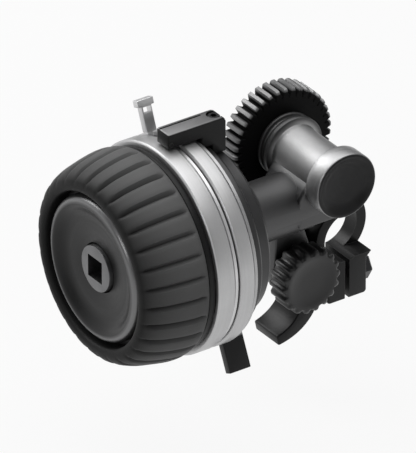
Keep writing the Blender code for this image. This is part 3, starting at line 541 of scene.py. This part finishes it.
# %% Turn the front cap
cap_shape = spin([
    (7.0, 5.7), (7.0, 1.75), (7.1, 1.5), (7.35, 1.4), (13.2, 1.3), (14.6, 1.1), (15.8, 0.65),
    (16.7, 0.05), (17.4, -0.5), (18.1, -0.87), (18.7, -1.0), (19.3, -0.92), (19.85, -0.65),
    (20.3, -0.2), (20.6, 0.4), (20.77, 1.1), (20.8, 1.9), (20.8, 3.2), (19.6, 3.2),
    (19.6, 5.7)])
soften(cap_shape, 0.12, 50)
piece("front_cap_turned", stand(cap_shape, "Y", wheel_centre), front_cap_painted_highlight, "wheel", "front_cap")

# %% [markdown]
# ## The wheel's hub
#
# The hub carries the cap, the tyre and the front band, and shows only in the gap round the cap.
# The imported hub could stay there, but its facets would show beside the smooth cap and tyre, so it
# is turned again from its own profile with more steps and broken edges.

# %% Turn the hub
hub_shape = spin([
    (1.4, 9.6), (7.0, 9.6), (7.0, 6.0), (19.9, 6.0), (19.9, 3.5), (24.6, 3.5), (24.6, 17.7),
    (28.8, 17.7), (28.8, 19.4), (27.0, 19.4), (27.0, 24.9), (9.0, 24.9), (9.0, 25.8),
    (3.3, 25.8), (3.3, 11.0), (1.4, 11.0)])
soften(hub_shape, 0.15, 50)
piece("wheel_hub_turned", stand(hub_shape, "Y", wheel_centre), black_coat, "wheel", "wheel_hub")

# %% [markdown]
# ## The rubber grip
#
# The grip is a domed rubber tyre with thirty lands and a narrow V groove between each two. The
# grooves could be cut with a boolean, but it is simpler to spin the tyre with twelve rows of
# vertices for each land and press the rows at the land's ends in towards the axis, as a mould
# does. The groove fades out at both ends.

# %% Press rows of a spun shape inwards
def groove(shape, count, pattern, depth, share_at):
    """Press rows in towards Z: pattern gives each row's share of the depth, over and over."""
    rows = len(pattern)
    for vert in list(shape.verts):
        radius = vert.co.xy.length
        if radius < 0.01 * mm:
            continue
        turn = math.atan2(vert.co.y, vert.co.x) % math.tau / math.tau
        row = round(turn * count * rows) % rows
        share = pattern[row] * share_at(radius / mm, vert.co.z / mm)
        factor = 1 - depth * mm * share / radius
        vert.co.x *= factor
        vert.co.y *= factor


lands = 30
groove_depth = 1.4
land_rows = [1, 0.55, 0.12, 0.03, 0, 0, 0, 0, 0, 0.03, 0.12, 0.55]
print("rows round the tyre", lands * len(land_rows))


# %% Spin the tyre and press its grooves
def grip_share(radius, along):
    """How deep the groove is at a place on the tyre: nothing on its lip and its rear edge."""
    lip_radius, rear_edge = 24.0, 17.2
    front_end, front_fade = -1.5, 2.2
    rear_end, rear_fade = 16.6, 1.4
    if radius < lip_radius or along > rear_edge:
        return 0.0
    front = min(1.0, max(0.0, (along - front_end) / front_fade))
    rear = min(1.0, max(0.0, (rear_end - along) / rear_fade))
    return front * rear


tyre_shape = spin([
    (24.9, 3.2), (22.1, 3.2), (22.1, -0.3), (22.2, -0.85), (22.5, -1.25), (23.0, -1.45),
    (23.6, -1.5), (24.6, -1.3), (25.6, -0.75), (26.4, 0.0), (27.0, 0.9), (27.5, 2.0),
    (28.0, 3.3), (28.5, 4.9), (28.9, 6.6), (29.25, 8.4), (29.6, 10.4), (29.85, 12.4),
    (29.9, 14.0), (29.8, 15.4), (29.55, 16.4), (29.3, 17.0), (28.9, 17.4), (24.9, 17.4)],
    steps=lands * len(land_rows))
groove(tyre_shape, lands, land_rows, groove_depth, grip_share)
piece("grip_tyre_moulded", stand(tyre_shape, "Y", wheel_centre), grip_rubber, "wheel",
      "grip_tyre")

# %% [markdown]
# ## The two bright bands
#
# The front band turns with the wheel and takes the focus marks, and the rear one stays still
# beside it. Both are plain rings of satin aluminium. Each could be drawn by itself, but they
# differ only in place and bore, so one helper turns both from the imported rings' own sizes.

# %% Turn the bands
def band(name, bore, node, body):
    """A satin ring with its edges broken."""
    low, high = span(node, "Y", wheel_centre)
    outer = radius_of(node, "X")
    chamfer_in, chamfer_along = 0.5, 0.45
    shape = spin([
        (bore, low), (outer - chamfer_in, low), (outer, low + chamfer_along),
        (outer, high - chamfer_along), (outer - chamfer_in, high), (bore, high)], steps=192)
    soften(shape, 0.12, 25)
    piece(name, stand(shape, "Y", wheel_centre), satin_band, body, node)


band("marking_band", 27.3, "marking_ring", "wheel")
band("index_band", 26.2, "index_ring", "gearbox")

# %% [markdown]
# ## The stepped housing
#
# Behind the bands the housing steps down three times to the gearbox. It could be stacked from
# plain discs, but the real one is a single turned part, so one profile makes it. Each shoulder
# has a soft edge that draws a thin line of light.

# %% Turn the housing
housing_shape = spin([
    (7.8, 27.4), (9.3, 27.4), (9.3, 34.1), (14.0, 34.1), (14.0, 25.5), (25.9, 25.5),
    (25.9, 33.1), (27.2, 33.1), (27.2, 35.5), (26.5, 36.2), (24.2, 36.2), (24.2, 40.2),
    (23.5, 40.9), (21.0, 40.9), (20.3, 42.9), (6.5, 42.9), (6.5, 32.0), (7.8, 32.0)])
soften(housing_shape, 0.2, 30)
piece("body_housing_turned", stand(housing_shape, "Y", wheel_centre), housing_coat, "gearbox",
      "body_housing")

# %% [markdown]
# ## The end cap
#
# The cap on the free end of the tube is a cup with a bright side and a dark, dished face. The
# side and the face could be two pieces, but the real cap is one turned part, so one profile makes
# it, and the finish tells them apart by their distance from the axis.

# %% Turn the end cap
cup_bore, cup_floor = 7.6, 4.0
low, high = span("end_cap", "X", drive_centre)
end_shape = spin([
    (0, high - cup_floor), (cup_bore, high - cup_floor), (cup_bore, low),
    (cap_radius - 0.6, low), (cap_radius, low + 0.55),
    (cap_radius, high - 0.6), (cap_radius - 0.15, high - 0.2),
    (cap_radius - 0.55, high), (cap_radius - 0.9, high), (cap_radius - 1.3, high - 0.2),
    (cap_radius - 2.2, high - 0.75), (cap_radius - 3.1, high - 1.2), (5.6, high - 1.4),
    (3.0, high - 1.6), (0, high - 1.7)])
soften(end_shape, 0.12, 35)
piece("end_cap_turned", stand(end_shape, "X", drive_centre), spun_cap, "gearbox", "end_cap")

# %% [markdown]
# ## The toothed gear
#
# The gear passes the wheel's turn on with 38 teeth of 0.8 module. They could be cut one by one,
# but they are made as the grip's grooves are: the blank is spun with eight rows for each tooth,
# and the rows between two teeth are pressed in to the root. A bevel on the blank's right side
# leaves the teeth narrower there.

# %% Cut the gear's teeth
teeth = 38
tooth_depth = 1.8
tooth_rows = [0, 0, 0, 0, 0.55, 1, 1, 0.55]
gear_low, gear_high = span("lens_gear", "X", drive_centre)
tip = radius_of("lens_gear", "Z")
gear_shape = spin([
    (6.3, gear_low), (13.6, gear_low), (tip - 0.5, gear_low), (tip, gear_low + 0.5),
    (tip, gear_high - 0.9), (tip - 0.25, gear_high - 0.3), (tip - 0.8, gear_high),
    (13.6, gear_high), (6.3, gear_high)], steps=teeth * len(tooth_rows))


def tooth_share(radius, along):
    """Only the toothed rim is cut."""
    rim_starts = 14.5
    return 1.0 if radius > rim_starts else 0.0


groove(gear_shape, teeth, tooth_rows, tooth_depth, tooth_share)
piece("lens_gear_cut", stand(gear_shape, "X", drive_centre), moulded_gear_painted_tip_sheen, "drive", "lens_gear",
      smooth=25)

# %% [markdown]
# ## Milled shapes and cuts
#
# Other pieces are milled: an outline is pulled into a prism, and bores and slots are cut through
# it. A bore could be bridged by hand, but a boolean says what the drill does. Several booleans in
# one stack left small gaps where their faces met, so each cut is made and cleaned by itself.

# %% Pull a flat outline into a prism
def pull(outline, low, high, axis, centre, edge=0.0):
    """Extrude an outline along an axis, in millimetres, and round its edges."""
    shape = bmesh.new()
    face = shape.faces.new([shape.verts.new((first * mm, second * mm, low * mm))
                            for first, second in outline])
    made = bmesh.ops.extrude_face_region(shape, geom=[face])
    moved = [item for item in made["geom"] if isinstance(item, bmesh.types.BMVert)]
    bmesh.ops.translate(shape, verts=moved, vec=(0, 0, (high - low) * mm))
    bmesh.ops.recalc_face_normals(shape, faces=shape.faces)
    if edge:
        soften(shape, edge, 40, 3)
    return stand(shape, axis, centre)


def arc(radius, start, end, count):
    """Points on an arc round zero, with its angles in degrees."""
    angles = [math.radians(start + (end - start) * step / count) for step in range(count + 1)]
    return [(radius * math.cos(angle), radius * math.sin(angle)) for angle in angles]


def hexagon(radius):
    """The outline of a recess for a hexagonal key."""
    return arc(radius, 0, 360, 6)[:-1]


print("recess corners", len(hexagon(1.0)))


# %% Join and cut shapes
def carve(shape, *steps):
    """Join shapes to a shape or cut them out of it: each step is an operation and a shape."""
    for operation, tool in steps:
        pair = []
        for solid in (shape, tool):
            mesh = bpy.data.meshes.new("carving")
            solid.to_mesh(mesh)
            solid.free()
            pair.append(bpy.data.objects.new("carving", mesh))
            bpy.context.collection.objects.link(pair[-1])
        modifier = pair[0].modifiers.new("carve", "BOOLEAN")
        modifier.operation = operation
        modifier.object = pair[1]
        modifier.solver = "EXACT"
        carved = pair[0].evaluated_get(bpy.context.evaluated_depsgraph_get())
        shape = bmesh.new()
        shape.from_mesh(carved.to_mesh())
        carved.to_mesh_clear()
        for used in pair:
            bpy.data.meshes.remove(used.data)
        bmesh.ops.remove_doubles(shape, verts=shape.verts, dist=0.002 * mm)
        bmesh.ops.recalc_face_normals(shape, faces=shape.faces)
    return shape


def drill(radius, low, high, axis, centre, steps):
    """A cut with a drill of one radius, from low to high along an axis."""
    bit = spin([(0, low), (radius, low), (radius, high), (0, high)], steps)
    return "DIFFERENCE", stand(bit, axis, centre)


# %% [markdown]
# ## The gear's hub
#
# The hub carries the gear on the drive shaft, with a collar at the gear's right and a wide screw
# at its left. It could be one piece with the gear, but the real gear is moulded and its hub is
# metal. Its step and its collar each catch a thin arc of light.

# %% Turn the hub and its screw
hub_low, hub_high = span("gear_hub", "X", drive_centre)
collar_low, collar_high = gear_low + 7.3, gear_low + 8.5
gear_hub_shape = spin([
    (1.4, hub_low), (5.7, hub_low), (6.0, hub_low + 0.3), (6.0, collar_low), (8.9, collar_low),
    (9.2, collar_low + 0.3), (9.2, collar_high - 0.3), (8.9, collar_high), (8.0, collar_high),
    (8.0, hub_high), (3.3, hub_high), (3.3, hub_low + 1.3), (1.4, hub_low + 1.3)], 96)
soften(gear_hub_shape, 0.1, 40)
piece("gear_hub_turned", stand(gear_hub_shape, "X", drive_centre), grey_coat_painted_shade, "drive",
      "gear_hub")
screw_low, screw_high = span("gear_screw", "X", drive_centre)
head_end = screw_low + 1.8
screw_shape = spin([
    (0, screw_low), (7.0, screw_low), (7.45, screw_low + 0.2), (7.6, screw_low + 0.6),
    (7.6, head_end), (1.1, head_end), (1.1, screw_high), (0, screw_high)], 96)
recess = pull(hexagon(2.3), screw_low - 1, screw_low + 1.2, "X", drive_centre)
piece("gear_screw_turned",
      carve(stand(screw_shape, "X", drive_centre), ("DIFFERENCE", recess)),
      dark_steel, "drive", "gear_screw")

# %% [markdown]
# ## The gearbox casting
#
# One casting holds the neck on the wheel's axis, the tube on the drive shaft's axis, the block
# where they cross and the bracket that hangs on the hinge. It could be one sculpted mesh, but the
# real one is machined from a few simple solids, so it is built that way: two turned bodies, a
# block and a strap are joined, and then the bores are cut through them.

# %% Wrap a solid round circles
def strap(circles, low, high, axis, centre, edge):
    """The solid inside a belt that runs round some (first, second, radius) circles."""
    shape = bmesh.new()
    for first, second, radius in circles:
        for x, y in arc(radius, 0, 360, 60)[:-1]:
            for along in (low, high):
                shape.verts.new(((first + x) * mm, (second + y) * mm, along * mm))
    hull = bmesh.ops.convex_hull(shape, input=shape.verts)
    inside = {item for item in hull["geom_interior"] + hull["geom_unused"]
              if isinstance(item, bmesh.types.BMVert)}
    bmesh.ops.delete(shape, geom=list(inside), context="VERTS")
    bmesh.ops.dissolve_limit(shape, angle_limit=math.radians(1), verts=shape.verts,
                             edges=shape.edges)
    bmesh.ops.recalc_face_normals(shape, faces=shape.faces)
    soften(shape, edge, 40, 3)
    return stand(shape, axis, centre)


bracket = strap([(66.3, -23.0, 6.8), (63.3, -4.6, 2.3), (65.2, -4.6, 2.3)], -6.6, -1.5, "X",
                wheel_centre, 0.4)
print("bracket faces", len(bracket.faces))

# %% Turn the neck and the tube, and pull the block
neck = spin([
    (0, 43.2), (13.4, 43.2), (13.85, 43.35), (14.0, 43.75), (14.0, 46.5), (13.8, 47.0),
    (13.3, 47.2), (9.9, 47.2), (9.25, 47.35), (8.8, 47.8), (8.6, 48.5), (8.6, 67.3),
    (8.4, 67.75), (7.6, 68.0), (7.6, 77.3), (7.35, 78.05), (6.6, 78.4), (0, 78.4)], 96)
tube = spin([
    (0, -10.2), (8.9, -10.2), (9.25, -10.05), (9.4, -9.7), (9.4, -8.65), (9.25, -8.35),
    (8.9, -8.2), (8.0, -8.2), (7.55, -8.0), (7.3, -7.5), (7.3, 12.0), (0, 12.0)], 96)
block = pull([(61.0, -4.6), (73.1, -4.6), (77.7, 0.0), (77.7, 9.9), (64.2, 9.9), (61.0, 4.6)],
             -8.5, 8.5, "X", wheel_centre, 0.9)
neck_bore = spin([
    (0, 42.2), (3.6, 42.2), (3.6, 47.2), (6.2, 47.2), (6.2, 74.1), (5.3, 74.1),
    (5.3, 77.1), (0, 77.1)], 48)
print("neck faces", len(neck.faces), "tube faces", len(tube.faces))

# %% Join the casting and bore it
tube_bore, hinge_hole, screw_hole = 6.2, 2.8, 1.5
screw_holes = [
    drill(screw_hole, 42.2, 46.9, "Y", Vector((place.x, wheel_centre.y, place.z)), 24)
    for place in (middle("body_screw_1"), middle("body_screw_2"), middle("body_screw_3"))]
casting = carve(
    stand(neck, "Y", wheel_centre), ("UNION", stand(tube, "X", drive_centre)),
    ("UNION", block), ("UNION", bracket), ("DIFFERENCE", stand(neck_bore, "Y", wheel_centre)),
    drill(tube_bore, -11.2, 13.0, "X", drive_centre, 48),
    drill(hinge_hole, -7.6, -0.5, "X", pivot_centre, 48), *screw_holes)
# The casting's coat is painted darker away from the drive axis, as shade.
piece("gearbox_cast", casting, grey_coat_painted_shade, "gearbox", "gearbox_housing")

# %% [markdown]
# ## The index pointer
#
# A square bar on a stepped foot reaches over both bands. It could be bent from one strip, but the
# real one is milled, so an outline is pulled sideways and its edges are broken. A shallow groove
# runs along its top, and a small pin sits near its front end.

# %% Mill the pointer
bar = pull([(22.2, 30.7), (33.1, 30.7), (33.1, 27.5), (36.5, 27.5), (36.5, 24.5), (40.9, 24.5),
            (40.9, 33.6), (40.45, 34.65), (39.4, 35.1), (22.2, 35.1)],
           -2.75, 2.75, "X", wheel_centre, 0.35)
top_groove = pull([(21.0, 34.75), (35.6, 34.75), (35.6, 36.0), (21.0, 36.0)], -1.9, -1.35, "X",
                  wheel_centre)
pin_centre = wheel_centre + Vector((0, 23.1, 32.0)) * mm
pin = spin([(0, 2.0), (0.6, 2.0), (0.6, 3.0), (0.5, 3.1), (0, 3.1)], 24)
screw_centre = Vector((wheel_centre.x, middle("pointer_screw").y, wheel_centre.z))
screw_bore = spin([(0, 23.0), (1.3, 23.0), (1.3, 32.6), (2.1, 32.6), (2.1, 36.0), (0, 36.0)], 36)
piece("pointer_bar",
      carve(bar, ("UNION", stand(pin, "X", pin_centre)), ("DIFFERENCE", top_groove),
            ("DIFFERENCE", stand(screw_bore, "Z", screw_centre))),
      pointer_coat_painted_top_sheen, "gearbox", "pointer_block")

# %% Turn the pointer's screw
screw_shape = spin([
    (0, 21.5), (1.0, 21.5), (1.0, 32.9), (1.8, 32.9), (1.8, 34.5), (1.5, 34.8), (0, 34.8)], 36)
recess = pull(hexagon(0.95), 33.8, 36.0, "Z", screw_centre)
piece("pointer_screw_turned",
      carve(stand(screw_shape, "Z", screw_centre), ("DIFFERENCE", recess)),
      dark_steel, "gearbox", "pointer_screw")

# %% [markdown]
# ## The focus stops
#
# Two thin rings turn beside the bands, each with a lever to push it by. The front lever is a flat
# blade with an eye below a thicker end bar, and the rear one is a plain tab. The levers could be
# extruded from the rings' own faces, but a milled outline keeps their edges crisp, so each is
# pulled flat, turned to its angle and joined to its ring.

# %% Build the stop rings
def stop(name, node, body, look, ring_low, angle, lever, eye=None):
    """A thin ring with a radial lever, whose outline is (radius, station) points."""
    ring_bore, ring_radius, ring_width = 26.2, 29.4, 1.0
    ring = spin([
        (ring_bore, ring_low), (ring_radius - 0.1, ring_low), (ring_radius, ring_low + 0.1),
        (ring_radius, ring_low + ring_width - 0.1), (ring_radius - 0.1, ring_low + ring_width),
        (ring_bore, ring_low + ring_width)])
    steps = [("UNION", pull(lever, -1.2, 1.2, "Z", Vector(), 0.25))]
    if eye:
        steps.append(("DIFFERENCE", pull(eye, -2.0, 2.0, "Z", Vector())))
    turn = Matrix.Translation(wheel_centre) @ Matrix.Rotation(-math.radians(angle), 4, "Y")
    for operation, tool in steps:
        bmesh.ops.transform(tool, matrix=turn, verts=tool.verts)
    piece(name, carve(stand(ring, "Y", wheel_centre), *steps), look, body, node)


stop("stop_ring_front", "stop_ring_a", "stop_a", stop_steel,
     ring_low=25.5, angle=112,
     lever=[(27.8, 25.75), (27.8, 26.25), (30.8, 26.25), (30.8, 27.6), (38.0, 27.6),
            (38.0, 28.6), (40.0, 28.6), (40.0, 23.4), (38.0, 23.4), (38.0, 24.4),
            (30.8, 24.4), (30.8, 25.75)],
     eye=[(36.0, 24.75), (37.8, 24.75), (37.8, 27.25), (36.0, 27.25)])
stop("stop_ring_rear", "stop_ring_b", "stop_b", stop_ring_look,
     ring_low=31.8, angle=-65,
     lever=[(27.8, 32.05), (27.8, 32.55), (27.8, 38.85), (39.0, 38.85), (39.0, 32.05)])

# %% [markdown]
# ## The clamp
#
# The clamp is a split ring with two ears below it and an ear for the hinge in front. Its upper
# rear side is cut away next to the gearbox. It could be turned and then trimmed, but it is made
# as the real one is: pulled from an outline, joined to the hinge ear, and then bored and slit.

# %% Build the clamp
ring_radius, ear_half = 10.7, 6.45
bore_radius, bolt_hole = 7.6, 2.3
meet = math.degrees(math.asin(ear_half / ring_radius))
ring_outline = arc(ring_radius, meet - 90, 270 - meet, 72)
ring_outline += [(-ear_half, -18.9), (-5.85, -19.5), (5.85, -19.5), (ear_half, -18.9)]
hinge_ear = strap([(-17.7, -4.5, 6.8), (-5.25, 0.0, 6.46)], -12.5, -7.9, "X", bore_centre, 0.4)
cut_away = pull([(0, -7.0), (11.7, -7.0), (11.7, 11.7), (0, 11.7)], -8.0, -0.5, "X",
                bore_centre)
slit = pull([(-0.75, -20.5), (0.75, -20.5), (0.75, 0.0), (-0.75, 0.0)], -14.0, -0.5, "X",
            bore_centre)
clamp_shape = carve(
    pull(ring_outline, -13.0, -1.5, "X", bore_centre, 0.5),
    ("UNION", hinge_ear), ("DIFFERENCE", cut_away),
    drill(bore_radius, -14.0, -0.5, "X", bore_centre, 72), ("DIFFERENCE", slit),
    drill(bolt_hole, -7.5, 7.5, "Y", bolt_centre, 36),
    drill(hinge_hole, -14.0, -6.9, "X", pivot_centre, 36))
piece("rod_clamp_milled", clamp_shape, black_coat, "clamp", "rod_clamp_body")

# %% [markdown]
# ## The clamp's lever
#
# The lever has a round cam head over its cross pin and runs down to a finger tab. It could be a
# bent curve with a bevel, but the real one is milled, so its outline is drawn: the centre line
# follows a soft bend, the width shrinks along it, and an arc closes the head.

# %% Build the lever
head_radius, lever_half = 3.0, 5.45
bolt_room, pin_hole = 3.5, 1.5
tab_end = Vector((-11.3, -11.1))
bend = Vector((-1.5, -9.0))
upper, lower = [], []
for share in [step / 20 for step in range(21)]:
    centre = bend * (2 * share * (1 - share)) + tab_end * share ** 2
    run = (bend * (1 - share) + (tab_end - bend) * share).normalized()
    side = Vector((-run.y, run.x)) * head_radius * (1 - share / 2)
    upper.append(tuple(centre + side))
    lower.append(tuple(centre - side))
crown = math.degrees(math.atan2(upper[0][1], upper[0][0]))
cam_head = arc(head_radius, crown, crown + 180, 24)[1:-1]
lever_shape = carve(
    pull(upper[::-1] + cam_head + lower, -lever_half, lever_half, "X", cam_centre, 0.4),
    drill(bolt_room, -2.05, 2.05, "X", cam_centre, 48),
    drill(pin_hole, -6.5, 6.5, "X", cam_centre, 36))
piece("clamp_lever_milled", lever_shape, black_coat, "lever", "clamp_lever")

# %% [markdown]
# ## The locking knob
#
# The knob locks the hinge and is moulded with ribs round its rim. The ribs could be copies of one
# bar, but a moulded rim is one skin, so it is spun and pressed as the gear is. Its face has a
# rounded edge and a shallow dish.

# %% Press the knob's ribs
ribs = 18
rib_depth = 0.9
rib_rows = [0, 0, 0.15, 0.5, 0.85, 1, 1, 1, 0.85, 0.5, 0.15, 0]
knob_shape = spin([
    (0, 5.3), (2.8, 5.3), (2.8, -0.3), (8.1, -0.3), (8.7, -0.2), (9.35, 0.1), (9.6, 0.6),
    (9.6, 6.3), (9.35, 6.85), (8.7, 7.15), (8.1, 7.2), (7.2, 7.2), (6.6, 6.9), (3.0, 6.6),
    (0, 6.55)], ribs * len(rib_rows))


def rib_share(radius, along):
    """Only the rim is ribbed."""
    rim_starts = 8.5
    return 1.0 if radius > rim_starts else 0.0


groove(knob_shape, ribs, rib_rows, rib_depth, rib_share)
piece("swing_knob_moulded", stand(knob_shape, "X", pivot_centre), moulded_knob, "knob",
      "swing_knob", smooth=50)

# %% [markdown]
# ## The square socket
#
# A crank plugs into a square socket in the middle of the wheel. The hole could be extruded down
# from an inset face, but the turned plug and the square cut are two plain steps.

# %% Cut the socket
half_square = 3.3
socket_shape = spin([(0, 0.2), (6.1, 0.2), (6.55, 0.35), (6.7, 0.75), (6.7, 7.3), (0, 7.3)], 96)
square = [(-half_square, -half_square), (half_square, -half_square),
          (half_square, half_square), (-half_square, half_square)]
piece("socket_cut",
      carve(stand(socket_shape, "Y", wheel_centre),
            ("DIFFERENCE", pull(square, -0.8, 5.6, "Y", wheel_centre))),
      socket_look, "wheel", "whip_socket")

# %% [markdown]
# ## The pieces that stay
#
# Bearings, shafts, washers, screws and small gears could be built again too, but they already
# have the right shape, and most of them are hidden inside. They keep their meshes and only get
# better materials.

# %% Dress the carried-over nodes
carried_over = (
    (bright_steel, ("wheel_shaft", "wheel_bearing_front", "wheel_bearing_rear", "drive_shaft",
                    "drive_bearing_left", "drive_bearing_right", "clamp_bolt", "lever_pin",
                    "hinge_washer", "knob_washer")),
    (dark_steel, ("hub_screw", "body_screw_1", "body_screw_2", "body_screw_3", "clamp_nut",
                  "hinge_bolt")),
    (bronze, ("thrust_washer", "wheel_screw_gear", "drive_screw_gear", "clamp_saddle")),
)
for look, names in carried_over:
    for name in names:
        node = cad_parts[name]
        if not node.material_slots:
            node.data.materials.append(look)
        for place in node.material_slots:
            place.material = look
    print(look.name, "on", len(names), "nodes")

# %% [markdown]
# ## The floor
#
# The object hangs by its clamp, so the pale floor lies below it, with room for the wheel when the
# gearbox swings down. It catches a soft shadow. It could be lit until it is white, but that would
# wash out the object, so the camera and the reflections see it nearly white instead, as the
# photograph's ground is, while its own colour is a plain grey.

# %% Lay the floor
swing_room = 15.5 * mm
floor_height = cad_box[0][2] - swing_room
floor_shape = bmesh.new()
bmesh.ops.create_grid(floor_shape, x_segments=1, y_segments=1, size=6)
bmesh.ops.translate(floor_shape, verts=floor_shape.verts, vec=(0, 0, floor_height))
floor_mesh = bpy.data.meshes.new("floor")
floor_shape.to_mesh(floor_mesh)
floor_shape.free()
floor = bpy.data.objects.new("floor", floor_mesh)
bpy.context.collection.objects.link(floor)
print("floor at", floor_height)

# %% Dress the floor
white_share = 0.9
floor_look = bpy.data.materials.new("pale_floor")
floor_look.use_nodes = True
floor_tree = floor_look.node_tree
floor_shader = floor_tree.nodes["Principled BSDF"]
floor_shader.inputs["Roughness"].default_value = 0.9
floor_place = add_node(floor_tree, "ShaderNodeTexCoord").outputs["Object"]
cloud = add_node(floor_tree, "ShaderNodeTexNoise", {"Vector": floor_place, "Scale": 3.0})
floor_grey = add_node(floor_tree, "ShaderNodeMapRange", {
    "Value": cloud.outputs["Fac"], "To Min": 0.5, "To Max": 0.52})
floor_tree.links.new(floor_grey.outputs["Result"], floor_shader.inputs["Base Color"])
rays = add_node(floor_tree, "ShaderNodeLightPath")
seen = rays.outputs["Is Camera Ray"]
for kind in ("Is Glossy Ray", "Is Transmission Ray"):
    seen = add_node(floor_tree, "ShaderNodeMath", {0: seen, 1: rays.outputs[kind]},
                    operation="MAXIMUM").outputs[0]
share = add_node(floor_tree, "ShaderNodeMath", {0: seen, 1: white_share}, operation="MULTIPLY")
white = add_node(floor_tree, "ShaderNodeEmission", {"Color": (1, 1, 1, 1), "Strength": 1.0})
ground = add_node(floor_tree, "ShaderNodeMixShader", {
    0: share.outputs[0], 1: floor_shader.outputs[0], 2: white.outputs[0]})
floor_tree.links.new(ground.outputs[0], floor_tree.nodes["Material Output"].inputs["Surface"])
floor_mesh.materials.append(floor_look)
print("floor look", floor_look.name)
